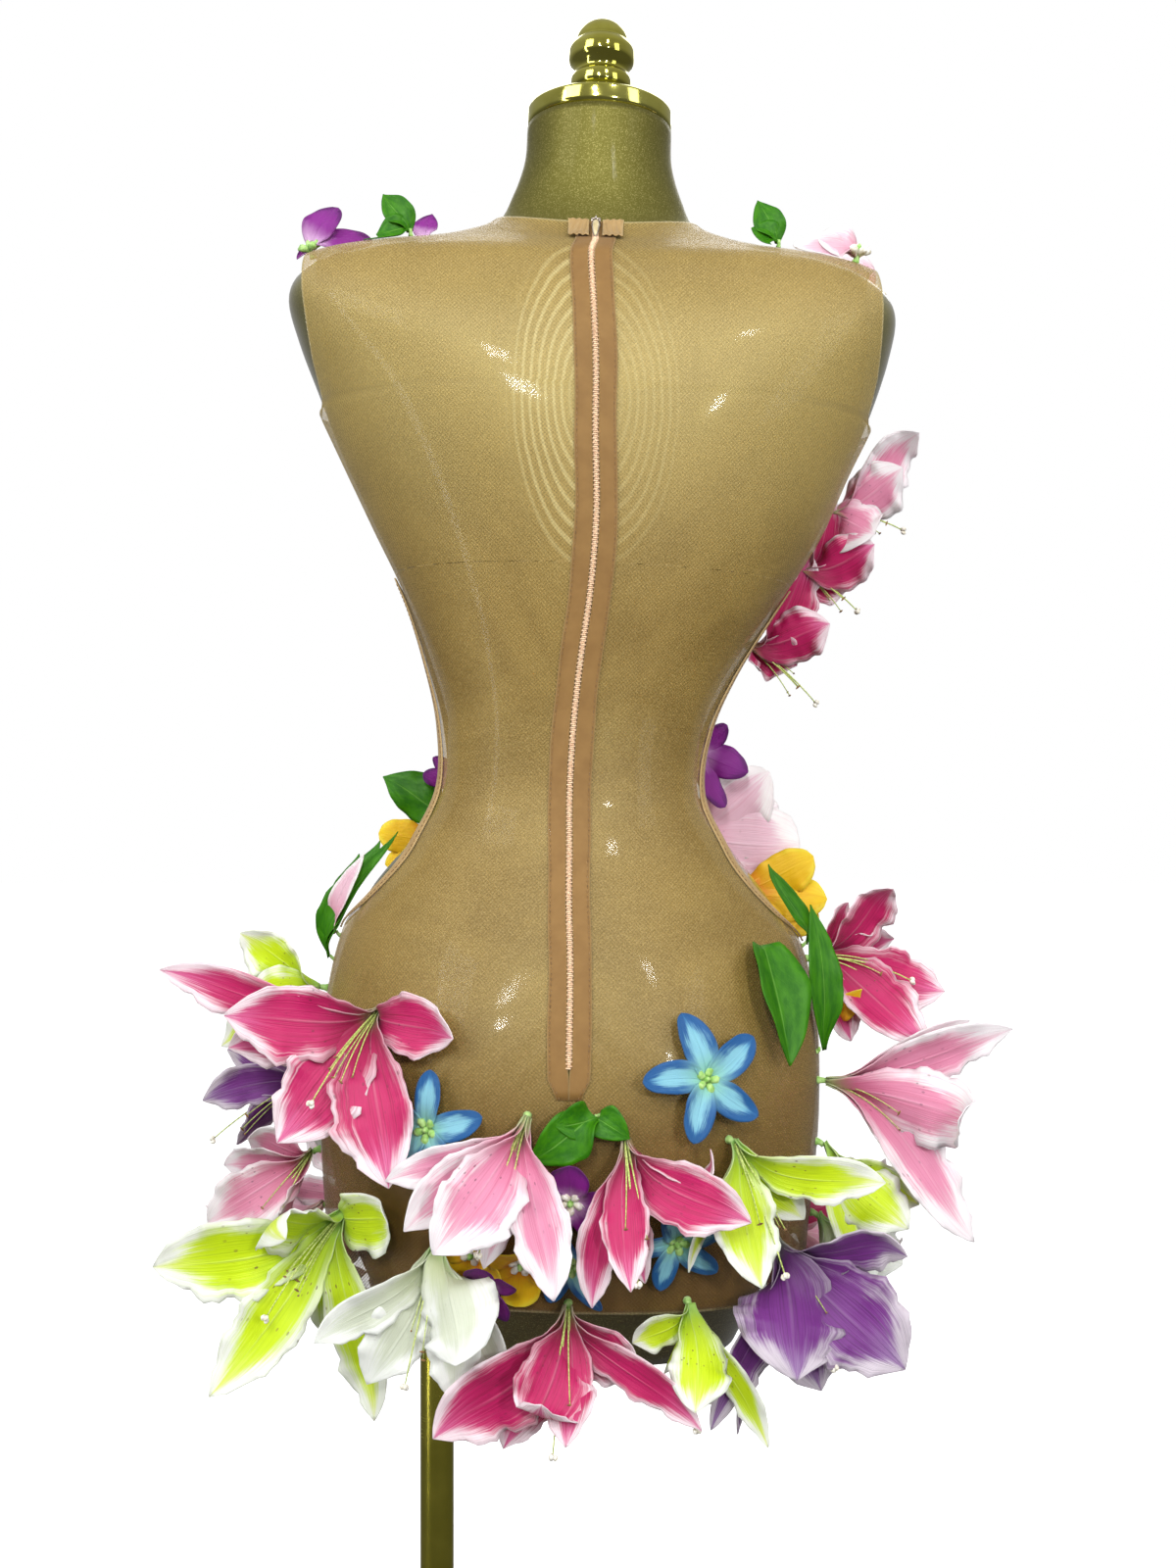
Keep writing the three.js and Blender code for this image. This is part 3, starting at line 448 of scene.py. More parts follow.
class Nodes:
    """Short calls for building a material's nodes."""

    def __init__(self, name):
        self.material = bpy.data.materials.new(name)
        self.material.use_nodes = True
        self.tree = self.material.node_tree
        self.tree.nodes.clear()
        self.output = self.tree.nodes.new("ShaderNodeOutputMaterial")

    def node(self, kind, **inputs):
        made = self.tree.nodes.new("ShaderNode" + kind)
        for key, value in inputs.items():
            self.put(made.inputs[key.replace("_", " ")], value)
        return made

    def put(self, socket, value):
        if isinstance(value, bpy.types.NodeSocket):
            self.tree.links.new(value, socket)
        elif value is not None:
            socket.default_value = value

    def math(self, operation, a, b=None, clamp=False):
        made = self.tree.nodes.new("ShaderNodeMath")
        made.operation, made.use_clamp = operation, clamp
        for socket, value in zip(made.inputs, (a, b)):
            self.put(socket, value)
        return made.outputs[0]

    def times(self, a, b):
        return self.math("MULTIPLY", a, b)

    def plus(self, a, b, clamp=False):
        return self.math("ADD", a, b, clamp=clamp)

    def minus(self, a, b):
        return self.math("SUBTRACT", a, b)

    def mix(self, factor, a, b, blend="MIX"):
        made = self.tree.nodes.new("ShaderNodeMix")
        made.data_type, made.blend_type = "RGBA", blend
        self.put(made.inputs[0], factor)
        self.put(made.inputs[6], a)
        self.put(made.inputs[7], b)
        return made.outputs[2]

    def smooth(self, value, low, high, to_low=0.0, to_high=1.0):
        made = self.tree.nodes.new("ShaderNodeMapRange")
        made.interpolation_type = "SMOOTHSTEP"
        for socket, v in zip(made.inputs, (value, low, high, to_low, to_high)):
            self.put(socket, v)
        return made.outputs[0]

    def noise(self, vector, scale, detail=2.0, rough=0.5):
        made = self.node("TexNoise", Scale=scale, Detail=detail, Roughness=rough)
        self.put(made.inputs["Vector"], vector)
        return made.outputs[0]

    def shade(self):
        """The vertex shade vector and its three numbers."""
        made = self.tree.nodes.new("ShaderNodeAttribute")
        made.attribute_name = "shade"
        parts = self.tree.nodes.new("ShaderNodeSeparateXYZ")
        self.put(parts.inputs[0], made.outputs["Vector"])
        return made.outputs["Vector"], *parts.outputs

    def vector(self, x, y, z):
        made = self.tree.nodes.new("ShaderNodeCombineXYZ")
        for socket, value in zip(made.inputs, (x, y, z)):
            self.put(socket, value)
        return made.outputs[0]

    def place(self):
        """The point in the object's own coordinates, in metres."""
        return self.tree.nodes.new("ShaderNodeTexCoord").outputs["Object"]

    def bump(self, height, strength=0.3, distance=0.001):
        return self.node("Bump", Strength=strength, Distance=distance, Height=height).outputs[0]

    def principled(self, colour, rough, bump=None, **more):
        made = self.tree.nodes.new("ShaderNodeBsdfPrincipled")
        self.put(made.inputs["Base Color"], colour)
        self.put(made.inputs["Roughness"], rough)
        self.put(made.inputs["Normal"], bump)
        for key, value in more.items():
            self.put(made.inputs[key.replace("_", " ")], value)
        return made.outputs[0]

    def blend(self, factor, a, b):
        made = self.tree.nodes.new("ShaderNodeMixShader")
        for socket, value in zip(made.inputs, (factor, a, b)):
            self.put(socket, value)
        return made.outputs[0]

    def glow(self, colour, bump):
        return self.node("BsdfTranslucent", Color=colour, Normal=bump).outputs[0]

    def clear(self):
        return self.node("BsdfTransparent").outputs[0]

    def done(self, shader):
        self.put(self.output.inputs["Surface"], shader)
        return self.material


def gold_paint():
    """Smooth olive gold paint with a very fine sparkle under a clear coat."""
    m = Nodes("form_gold_paint")
    place = m.place()
    flake = m.node("TexVoronoi", Scale=2200.0, Vector=place)
    speck = m.math("POWER", m.node("SeparateColor", Color=flake.outputs["Color"]).outputs[0], 7)
    cloud = m.noise(place, 7.0, 4.0, 0.6)
    height = m.node("SeparateXYZ", Vector=place).outputs[2]
    base = m.mix(m.smooth(cloud, 0.35, 0.65), linear(118, 112, 54), linear(132, 125, 62))
    # painted shade: below about 0.78 m the paint darkens to brown, standing in for the shade that the flowers
    # cast on the lower form
    base = m.mix(m.smooth(height, 0.78, 0.66, 0.0, 0.6), base, linear(74, 58, 30))
    # painted shade: from 1.31 m up the neck is darker and more olive, standing in for less light reflected
    # off it
    base = m.mix(m.smooth(height, 1.31, 1.36, 0.0, 0.75), base, linear(84, 80, 20))
    colour = m.mix(m.times(speck, 0.28), base, linear(226, 214, 140))
    grain = m.plus(m.noise(place, 900.0, 2.0), m.times(speck, 0.4))
    rough = m.plus(m.smooth(cloud, 0.3, 0.7, 0.34, 0.42), m.smooth(height, 1.31, 1.37, 0.0, 0.16))
    coat = m.smooth(height, 1.325, 1.35, 1.0, 0.03)
    return m.done(m.principled(colour, rough, m.bump(grain, 0.12, 0.0003),
                               Metallic=0.75, Coat_Weight=coat, Coat_Roughness=0.08))


def polished_gold(name, dark, bright, rough_least=0.05):
    m = Nodes(name)
    place = m.place()
    smear = m.noise(place, 14.0, 5.0, 0.6)
    scratch = m.noise(m.node("Mapping", Vector=place, Scale=(40, 40, 900)).outputs[0], 1.0, 3.0)
    colour = m.mix(m.smooth(smear, 0.3, 0.7), dark, bright)
    rough = m.plus(m.smooth(smear, 0.3, 0.8, rough_least, rough_least + 0.07), m.times(scratch, 0.05))
    return m.done(m.principled(colour, rough, m.bump(scratch, 0.05, 0.0003), Metallic=1.0))


def net_cloth(name, cover, tint, pale):
    """Sheer stretch net: a fine mesh of tan yarn with open holes.

    shade holds the place round the body from the zip, the height and the distance from the panel's nearest
    free edge, in mm."""
    m = Nodes(name)
    vector, across, height_at, edge = m.shade()
    turn = 2 * math.pi / 1.7
    first = m.math("SINE", m.times(m.plus(across, height_at), turn * 0.7))
    second = m.math("SINE", m.times(m.minus(across, height_at), turn * 0.7))
    weave = m.times(m.plus(m.plus(first, second), 2.0), 0.25)
    patchy = m.noise(vector, 0.012, 4.0, 0.6)
    grain = m.noise(vector, 0.75, 2.0, 0.6)
    yarn = m.mix(m.smooth(patchy, 0.35, 0.65), tint, pale)
    yarn = m.mix(m.times(m.smooth(grain, 0.42, 0.7), 0.35), yarn, linear(214, 188, 120))
    # painted shade: the net darkens to brown towards the hem, standing in for the shade that the flowers cast
    # on it
    low = m.times(m.smooth(height_at, -110.0, -290.0), 0.8)
    yarn = m.mix(low, yarn, linear(112, 76, 34))
    # painted light: the net is paler over the upper back, less so at the top of the shoulders, standing in
    # for light falling from above
    shoulder = m.smooth(height_at, 325.0, 265.0, 0.35, 1.0)
    painted_top_light = m.times(m.smooth(height_at, 90.0, 250.0, 0.0, 0.42), shoulder)
    yarn = m.mix(painted_top_light, yarn, linear(232, 212, 136))
    # pale arcs are painted into the net in rings round its centre line at shoulder-blade height, stronger on
    # one side of it
    side = m.math("DIVIDE", m.math("ABSOLUTE", across), 52.0)
    rise = m.math("DIVIDE", m.minus(height_at, 232.0), 108.0)
    ring = m.math("SQRT", m.plus(m.times(side, side), m.times(rise, rise)))
    drift = m.times(m.noise(vector, 0.016, 3.0), 5.0)
    arcs = m.math("SINE", m.plus(m.times(ring, 68.0), drift))
    where = m.times(m.smooth(ring, 1.05, 0.8), m.smooth(ring, 0.15, 0.4))
    arcs = m.times(m.smooth(arcs, 0.0, 1.0), m.times(where, m.smooth(across, -6.0, 6.0, 0.55, 0.22)))
    yarn = m.mix(arcs, yarn, linear(246, 230, 166))
    fold = m.smooth(edge, 1.6, 0.6)
    colour = m.mix(m.times(fold, 0.6), yarn, linear(214, 200, 146))
    bump = m.bump(m.plus(m.times(weave, 0.5), m.times(grain, 0.8)), 0.3, 0.0005)
    solid = m.principled(colour, 0.5, bump, Sheen_Weight=0.2, Sheen_Roughness=0.4, Specular_IOR_Level=0.6)
    glow = m.glow(colour, bump)
    body = m.blend(0.2, solid, glow)
    through = m.clear()
    fill = m.plus(m.smooth(weave, 0.25, 0.8, -0.1, 0.1), m.smooth(grain, 0.3, 0.7, -0.07, 0.07))
    fill = m.plus(m.plus(fill, cover), m.times(fold, 0.3), clamp=True)
    return m.done(m.blend(fill, through, body))


def ribbon_cloth(name, tint, pale, cover, pitch):
    """Closely woven tape or a folded band: shade holds mm across, mm along and a share across."""
    m = Nodes(name)
    vector, across, along_, share = m.shade()
    ribs = m.math("SINE", m.times(along_, 2 * math.pi / pitch))
    cross = m.math("SINE", m.times(across, 2 * math.pi / pitch))
    weave = m.times(ribs, cross)
    patchy = m.noise(vector, 0.06, 4.0, 0.6)
    colour = m.mix(m.smooth(patchy, 0.3, 0.7), tint, pale)
    colour = m.mix(m.times(m.plus(weave, 1.0), 0.12), colour, linear(122, 90, 52))
    edge = m.smooth(m.math("ABSOLUTE", m.minus(share, 0.5)), 0.4, 0.5)
    colour = m.mix(m.times(edge, 0.35), colour, linear(206, 182, 128))
    solid = m.principled(colour, 0.6, m.bump(weave, 0.3, 0.0003), Sheen_Weight=0.2, Sheen_Roughness=0.4)
    through = m.clear()
    return m.done(m.blend(cover, through, solid))


def plain_thread(name, colour, dark, rough, scale=900.0):
    m = Nodes(name)
    place = m.place()
    twist = m.noise(place, scale, 2.0)
    tone = m.mix(m.smooth(twist, 0.35, 0.65), dark, colour)
    return m.done(m.principled(tone, rough, m.bump(twist, 0.4, 0.0003), Sheen_Weight=0.2))


def zip_metal(name, bright, dull, metal):
    m = Nodes(name)
    place = m.place()
    worn = m.noise(place, 260.0, 4.0, 0.6)
    colour = m.mix(m.smooth(worn, 0.35, 0.7), dull, bright)
    rough = m.smooth(worn, 0.3, 0.7, 0.36, 0.2)
    return m.done(m.principled(colour, rough, m.bump(worn, 0.15, 0.0002), Metallic=metal, Coat_Weight=0.3))


# Petal colours: throat, body, tip and margin (screen colours), how far in the margin reaches, how strong the
# veins are, how many spots there are, and the green at the petal's foot.
HUES = table("""
  hue    throat       body         tip          margin       reach veins spots foot
  hot    158,2,70     202,20,102   228,112,166  250,234,240  .32   .85   .5    .4
  blush  214,108,148  230,148,180  242,218,226  248,244,246  .5    .6    .55   .7
  lime   172,204,2    210,234,0    230,240,120  244,246,238  .42   .4    .75   .7
  white  200,212,160  218,224,204  232,236,228  242,244,240  .5    .35   .12   .9
  violet 78,12,92     122,46,138   160,124,176  214,204,214  .34   .85   .1    .25
  sky    150,214,190  140,204,222  44,132,196   16,92,156    .6    .3    0     .5
  gold   224,104,16   240,196,8    244,210,16   244,222,50   .2    .3    .15   .1
  plum   238,196,238  140,20,144   120,8,128    98,0,108     .26   .3    0     .1
  shell  226,150,176  236,196,212  244,228,234  250,246,246  .45   .4    .15   .3
""")


def rgb(word):
    return linear(*[float(x) for x in word.split(",")])


def petal_cloth(row):
    """Dyed silk. shade holds the place along the petal, the place across it from -1 to 1, and a seed."""
    m = Nodes("silk_" + row["hue"])
    _, u, v, seed = m.shade()
    far = m.math("ABSOLUTE", v)
    streak = m.noise(m.vector(m.times(u, 1.6), m.times(v, 9.0), seed), 1.8, 5.0, 0.65)
    fine = m.noise(m.vector(m.times(u, 1.2), m.times(v, 30.0), seed), 1.0, 3.0, 0.6)
    cloud = m.noise(m.vector(m.times(u, 3.0), m.times(v, 2.0), seed), 1.2, 3.0)
    colour = m.mix(m.smooth(m.plus(u, m.times(cloud, 0.2)), 0.2, 0.65), rgb(row["throat"]),
                   rgb(row["body"]))
    late = m.plus(u, m.times(m.minus(streak, 0.5), 0.5))
    colour = m.mix(m.smooth(late, 0.68, 0.98), colour, rgb(row["tip"]))
    ragged = m.plus(far, m.times(m.minus(streak, 0.5), 0.9))
    ragged = m.plus(ragged, m.smooth(u, 0.6, 1.02, 0.0, 0.7))
    ragged = m.plus(ragged, m.times(m.minus(cloud, 0.5), 0.9))
    start = 1.06 - row["reach"] * 1.3
    margin = m.times(m.smooth(ragged, start, start + 0.5), m.smooth(u, 0.12, 0.55))
    margin = m.math("MAXIMUM", margin, m.times(m.smooth(far, 0.93, 0.995), 0.4))
    colour = m.mix(margin, colour, rgb(row["margin"]))
    dark = m.mix(1.0, colour, rgb(row["throat"]), "MULTIPLY")
    vein = m.times(m.smooth(fine, 0.5, 0.68), row["veins"] * 0.55)
    colour = m.mix(vein, colour, dark)
    rib = m.times(m.smooth(far, 0.06, 0.0), m.smooth(u, 0.95, 0.4))
    colour = m.mix(m.times(rib, 0.12), colour, rgb(row["margin"]))
    green = m.smooth(m.plus(u, m.times(cloud, 0.12)), 0.27, 0.08)
    colour = m.mix(m.times(green, row["foot"]), colour, linear(158, 206, 112))
    if row["spots"]:
        at = m.vector(m.times(u, 17.0), m.times(v, 5.5), seed)
        cells = m.node("TexVoronoi", Scale=1.0, Randomness=1.0, Vector=at)
        chosen = m.node("SeparateColor", Color=cells.outputs["Color"]).outputs[0]
        where = m.times(m.smooth(u, 0.1, 0.25), m.smooth(u, 0.75, 0.45))
        where = m.times(where, m.math("GREATER_THAN", chosen, 0.45))
        dot = m.times(m.smooth(cells.outputs["Distance"], 0.2, 0.12), where)
        colour = m.mix(m.times(dot, row["spots"]), colour, linear(92, 30, 44))
    height = m.plus(m.times(fine, 0.7), m.plus(cloud, m.times(rib, 0.6)))
    bump = m.bump(height, 0.45, 0.0016)
    cloth = m.principled(colour, 0.5, bump, Sheen_Weight=0.1, Sheen_Roughness=0.5)
    glow = m.glow(colour, bump)
    return m.done(m.blend(0.22, cloth, glow))


def leaf_cloth():
    m = Nodes("silk_leaf")
    _, u, v, seed = m.shade()
    far = m.math("ABSOLUTE", v)
    slant = m.minus(m.times(u, 9.0), m.times(far, 3.2))
    ribs = m.math("ABSOLUTE", m.math("SINE", m.times(slant, math.pi)))
    veins = m.times(m.smooth(ribs, 0.14, 0.0), m.smooth(far, 1.0, 0.6))
    rib = m.times(m.smooth(far, 0.05, 0.01), m.smooth(u, 0.95, 0.6))
    cloud = m.noise(m.vector(m.times(u, 4.0), m.times(v, 2.0), seed), 1.5, 4.0, 0.6)
    colour = m.mix(m.smooth(cloud, 0.3, 0.7), linear(34, 96, 2), linear(58, 122, 4))
    colour = m.mix(m.times(veins, 0.08), colour, linear(96, 156, 30))
    colour = m.mix(m.times(rib, 0.35), colour, linear(120, 176, 70))
    height = m.plus(m.times(veins, -0.15), m.plus(m.times(rib, -0.8), cloud))
    return m.done(m.principled(colour, m.smooth(cloud, 0.3, 0.7, 0.55, 0.42), m.bump(height, 0.35, 0.0012),
                               Specular_IOR_Level=0.22))


PAINT = gold_paint()
BRASS = polished_gold("polished_gold_metal", linear(166, 160, 66), linear(204, 200, 108))
POLE_METAL = polished_gold("pole_gold_metal", linear(168, 160, 60), linear(192, 182, 76), 0.2)
NET = net_cloth("stretch_net", 0.5, linear(156, 126, 60), linear(174, 144, 74))
BAND = ribbon_cloth("folded_net_band", linear(172, 140, 88), linear(190, 158, 104), 0.86, 1.3)
TAPE = ribbon_cloth("zip_tape_cloth", linear(148, 108, 50), linear(162, 122, 62), 0.66, 1.0)
COIL = plain_thread("zip_coil_nylon", linear(242, 210, 174), linear(218, 176, 138), 0.4)
STITCH = plain_thread("sewing_thread", linear(150, 112, 60), linear(90, 62, 28), 0.6)
METAL = zip_metal("zip_nickel", linear(226, 216, 206), linear(140, 126, 112), 0.9)
ENAMEL = zip_metal("zip_enamel", linear(226, 210, 170), linear(196, 178, 130), 0.0)
SILK = {row["hue"]: petal_cloth(row) for row in HUES}
LEAF = SILK["leaf"] = leaf_cloth()
STAMEN = plain_thread("stamen_wire", linear(206, 218, 128), linear(150, 170, 70), 0.45)
ANTHER = plain_thread("anther_foam", linear(246, 244, 236), linear(220, 212, 190), 0.7, 500.0)
GREEN = plain_thread("flower_foot_green", linear(176, 212, 130), linear(130, 180, 80), 0.6, 300.0)
RUST = plain_thread("anther_rust", linear(150, 110, 60), linear(104, 70, 34), 0.8, 500.0)


def keep(made, nodes=(), body="dress"):
    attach(made, body)
    if nodes:
        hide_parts(*nodes)
    return made


# ---- The form and its stand --------------------------------------------------------------------------
HOLE_TOP = WAIST_Z + SECTIONS[0]["up"] + POLE_SINK


def body_form():
    """The whole limbless form, with a round socket for the pole in its underside."""
    sides, steps = 128, 170
    rows = np.linspace(0, LAST, steps)
    angles = full_turn(sides)
    fuller = 0.6 * bell((along(rows)["up"] - 15) / 48)  # the waist nearly fills the net
    points = to_world(ring_point(rows[:, None], angles[None, :], fuller[:, None])) * 1000
    rim = points[0]
    # the underside is a plane through the lowest ring
    middle = rim.mean(0)
    normal = np.array([math.sin(LEAN), 0, math.cos(LEAN)])
    pole_turn = np.arctan2(rim[:, 1], rim[:, 0])
    radius = POLE_R + GAP
    hole = np.stack([radius * np.cos(pole_turn), radius * np.sin(pole_turn)], -1)
    level = middle[2] - ((hole - middle[:2]) @ normal[:2]) / normal[2]
    hole = np.concatenate([hole, level[:, None]], 1)
    halfway = rim * 0.55 + hole * 0.45
    top = hole.copy()
    top[:, 2] = HOLE_TOP
    rings = np.concatenate([top[None], hole[None], halfway[None], points])
    ends = np.array([[0, 0, HOLE_TOP], points[-1].mean(0)])
    build = Build()
    build.add(np.concatenate([rings.reshape(-1, 3), ends]), capped(len(rings), sides))
    return build.object("form_body", [PAINT], world=False)


def rounded(profile, steps=5, share=0.3):
    """Rounds a lathe profile's corners."""
    profile = np.asarray(profile, float)
    out = [profile[0]]
    for a, b, c in zip(profile, profile[1:], profile[2:]):
        reach = min(np.linalg.norm(b - a), np.linalg.norm(c - b)) * share
        start, end = b + unit(a - b) * reach, b + unit(c - b) * reach
        for t in np.linspace(0, 1, steps):
            out.append((1 - t) ** 2 * start + 2 * t * (1 - t) * b + t * t * end)
    out.append(profile[-1])
    return out


def finial_profile():
    profile = [[0, 0], [21, 0], [21.5, 4]]
    for height, radius, half in ((18, 20.5, 7), (37, 22, 8)):
        profile += [[radius - 3, height - half], [radius, height - half / 2]]
        profile += [[radius, height + half / 2], [radius - 3, height + half]]
    for k in range(10):
        a = k / 10 * math.pi / 2
        profile.append([17.5 * math.cos(a), 46 + 15 * math.sin(a)])
    profile.append([0, 61])
    return profile


def turned(name, node, metal, profile, sides, centre=(0, 0, 0), world=False):
    """A turned solid; the profile's first and last points lie on the axis."""
    profile = np.asarray(profile, float)
    inner = profile[1:-1]
    turn = full_turn(sides)
    radius, height = inner[:, :1], np.repeat(inner[:, 1:], sides, 1)
    rings = np.stack([radius * np.cos(turn), radius * np.sin(turn), height], -1)
    points = np.concatenate([rings.reshape(-1, 3), [[0, 0, profile[0][1]], [0, 0, profile[-1][1]]]])
    build = Build()
    build.add(points + np.asarray(centre), capped(len(inner), sides))
    keep(build.object(name, [metal], world=world), [node])


form = keep(body_form(), ["dress_form"])
cap_bottom = np.array([0, SECTIONS[-1]["fore"], SECTIONS[-1]["up"] + GAP])
cap_profile = [[0, 0], [CAP_R, 0], [CAP_R + 0.5, CAP_H - 2], [CAP_R - 2, CAP_H], [0, CAP_H]]
turned("neck_cap_turned", "neck_cap", BRASS, rounded(cap_profile), 96, cap_bottom, True)
finial_bottom = cap_bottom + [0, 0, CAP_H + GAP]
turned("finial_turned", "finial", BRASS, rounded(finial_profile(), 4, 0.4), 72, finial_bottom, True)
bottom, top = SOCKET_Z + GAP, HOLE_TOP - GAP
pole_profile = [[0, bottom], [POLE_R, bottom], [POLE_R, top], [0, top]]
turned("pole_tube", "pole", POLE_METAL, rounded(pole_profile, 3, 0.02), 48)
boss = POLE_R + 7
boss_top = FOOT_H + BOSS_H
base_profile = [
    [0, 0], [FOOT_R, 0], [FOOT_R, FOOT_H - 10], [FOOT_R - 4, FOOT_H - 6], [boss + 4, FOOT_H],
    [boss, FOOT_H + 4], [boss, boss_top], [POLE_R + GAP, boss_top], [POLE_R + GAP, SOCKET_Z], [0, SOCKET_Z],
]
turned("base_turned", "base", BRASS, rounded(base_profile, 5, 0.2), 128)


# ---- The net -----------------------------------------------------------------------------------------
def millimetres_round(s, angle):
    """Length round the net for each radian, at a place."""
    return np.linalg.norm(skin(s, angle + 0.01) - skin(s, angle - 0.01), axis=-1) / 0.02


def zip_edge(s):
    """Beside the teeth; under the zip's end the two backs meet in a plain seam."""
    below = smoothstep((ZIP_END_UP + 3 - along(s)["up"]) / 6)
    return angle_at_reach(s, (ZIP_HALF + GAP) * (1 - below) + GAP / 2 * below)


def ripples(s, angle):
    """Small drag lines in the net, in mm: along the lower zip and above the side openings' lower ends."""
    up = along(s)["up"]
    sideways = ring_point(s, angle)[..., 0]
    low = bell((up + 150) / 46) * bell(sideways / 46)
    waist = bell((up - 25) / 34) * np.clip(np.abs(sideways) / 60, 0, 1) ** 2
    by_zip = np.sin(up * 0.30 + np.abs(sideways) * 0.34) * low * 0.5
    drag = np.sin(up * 0.52 + np.abs(sideways) * 0.1) * waist * 0.35
    return np.where(np.cos(angle) > 0, by_zip + drag, 0)


def lengths_over(middle):
    """Each grid point's length along its row and along its column, from the first point of each."""
    across = np.cumsum(np.linalg.norm(np.diff(middle, axis=1, prepend=middle[:, :1]), axis=-1), axis=1)
    upward = np.cumsum(np.linalg.norm(np.diff(middle, axis=0, prepend=middle[:1]), axis=-1), axis=0)
    return across, upward


def panel(name, start, end, columns, nodes, zip_side):
    """One panel of the net between two edges, as a thin closed wall.

    zip_side is where its rows' zero lies: 0 at their start, 1 at their end."""
    s = np.linspace(HEM, NECKLINE, 190)
    edge = np.array([section_at(row["up"]) for row in (SIDE_OPENING[0], SIDE_OPENING[-1])])
    s = np.sort(np.concatenate([s, edge, edge - 0.01, edge + 0.01]))
    share = np.linspace(0, 1, columns)
    a, b = start(s), end(s)
    angle = a[:, None] + (b - a)[:, None] * share[None, :]
    rows = np.broadcast_to(s[:, None], angle.shape)
    lift = CLOTH_OUT - CLOTH_WALL / 2 + ripples(rows, angle)
    middle = skin(rows, angle, lift)
    across, upward = lengths_over(middle)
    across = across - across[:, -1:] * zip_side
    free = np.minimum(upward, upward[-1:] - upward)
    armed = along(s)["up"] > ARMHOLE[0]["up"]
    sides = np.minimum(across - across.min(1, keepdims=True), across.max(1, keepdims=True) - across)
    free = np.where(armed[:, None], np.minimum(free, np.where(np.abs(across) > 60, sides, 99)), free)
    shade = np.stack([across, middle[..., 2], free], -1)
    build = Build()
    thick_sheet(build, middle, CLOTH_WALL, shade)
    return keep(build.object(name, [NET]), nodes)


back_right = panel("net_back_right", zip_edge, lambda s: side_edge(s, -1), 64, ["dress_back_right"], 0)
back_left = panel("net_back_left", lambda s: -side_edge(s, -1), lambda s: -zip_edge(s), 64,
                  ["dress_back_left"], 1)
front = panel("net_front", lambda s: side_edge(s, 1), lambda s: 2 * math.pi - side_edge(s, 1), 120,
              ["dress_front"], 0.5)


def strip(name, rows, start, end, low, wall, columns, material, slot, nodes, crown, tuck=None):
    """A narrow strip of cloth on the net, a little crowned."""
    share = np.linspace(0, 1, columns)
    a, b = start(rows), end(rows)
    angle = a[:, None] + (b - a)[:, None] * share[None, :]
    s = np.broadcast_to(rows[:, None], angle.shape)
    lift = low + wall / 2 + crown * np.sin(math.pi * share)[None, :] ** 0.6
    if tuck is not None:
        lift = lift + tuck(s, share[None, :])
    middle = skin(s, angle, lift)
    across, upward = lengths_over(middle)
    shade = np.stack([across, upward, np.broadcast_to(share, across.shape)], -1)
    build = Build()
    thick_sheet(build, middle, wall, shade)
    return keep(build.object(name, [material]), nodes)


def dashes(name, rows, angle_of, out, pitch, length, radius):
    """Running stitches along a line on the net."""
    fine = np.linspace(rows[0], rows[-1], 1200)
    path = skin(fine, angle_of(fine), out)
    far = lengths_along(path)
    build = Build()
    for k in range(int(far[-1] / pitch)):
        at = k * pitch + np.linspace(0, length, 4)
        tube(build, points_at(at, far, path), [radius * 0.4, radius, radius, radius * 0.4], 5)
    keep(build.object(name, [STITCH]))


def both_edges(side, turned, inner, outer):
    """A strip's two edges on one side of the body; turned puts them the other way round."""
    ends = [lambda s: side * inner(s), lambda s: side * outer(s)]
    return ends[::-1] if turned else ends


def band_width(s):
    """The bands run out to nothing much at both ends of an opening."""
    up = along(s)["up"]
    short = np.minimum(up - SIDE_OPENING[0]["up"], SIDE_OPENING[-1]["up"] - up)
    return BAND_WIDTH * (0.3 + 0.7 * smoothstep(short / 20))


def band_line(s, facing, share):
    """The angle at a share of a band's width in from its opening's edge."""
    edge = side_edge(s, facing)
    return edge + facing * (band_width(s) * share) / millimetres_round(s, edge)


STITCHED_AT = 0.78
opening_rows = np.linspace(section_at(SIDE_OPENING[0]["up"] + 1), section_at(SIDE_OPENING[-1]["up"] - 1), 110)
for side_name, side in SIDES:
    for panel_name, facing in (("back", -1), ("front", 1)):
        ends = both_edges(side, side * facing > 0, lambda s: band_line(s, facing, 1),
                          lambda s: side_edge(s, facing))
        key = f"{panel_name}_{side_name}"
        strip(f"band_{key}", opening_rows, *ends, BAND_IN, TRIM_WALL, 9, BAND, "band",
                           [f"cutout_band_{key}"], 0.35)
        dashes(f"band_stitches_{key}", opening_rows, lambda s: side * band_line(s, facing, STITCHED_AT),
               BAND_IN + TRIM_WALL + 0.45, 3.4, 2.3, 0.26)

tape_rows = np.linspace(section_at(TAPE_END_UP), NECKLINE - 0.02, 160)


def tape_waver(s, share):
    return 0.12 * np.sin(s * 9 + share * 2) * bell((along(s)["up"] + 140) / 70)


def tape_width(s):
    """The tape narrows at its cut end, and its edge is not quite straight."""
    up = along(s)["up"]
    straight = TAPE_WIDTH * (0.5 + 0.5 * smoothstep((up - TAPE_END_UP) / 12))
    return straight + 0.4 * np.sin(up / 13) * np.sin(up / 31)


for side_name, side in SIDES:
    ends = both_edges(side, side < 0, zip_edge, lambda s: angle_at_reach(s, ZIP_HALF + GAP + tape_width(s)))
    strip(f"zip_tape_cloth_{side_name}", tape_rows, *ends, TRIM_IN, TAPE_WALL, 9,
                             TAPE, "zip_tape", [f"zip_tape_{side_name}"], 0.1, tape_waver)
    dashes(f"tape_stitches_{side_name}", tape_rows,
           lambda s: side * angle_at_reach(s, ZIP_HALF + GAP + tape_width(s) - 1.5),
           TRIM_IN + TRIM_WALL + 0.2, 3.2, 2.2, 0.2)

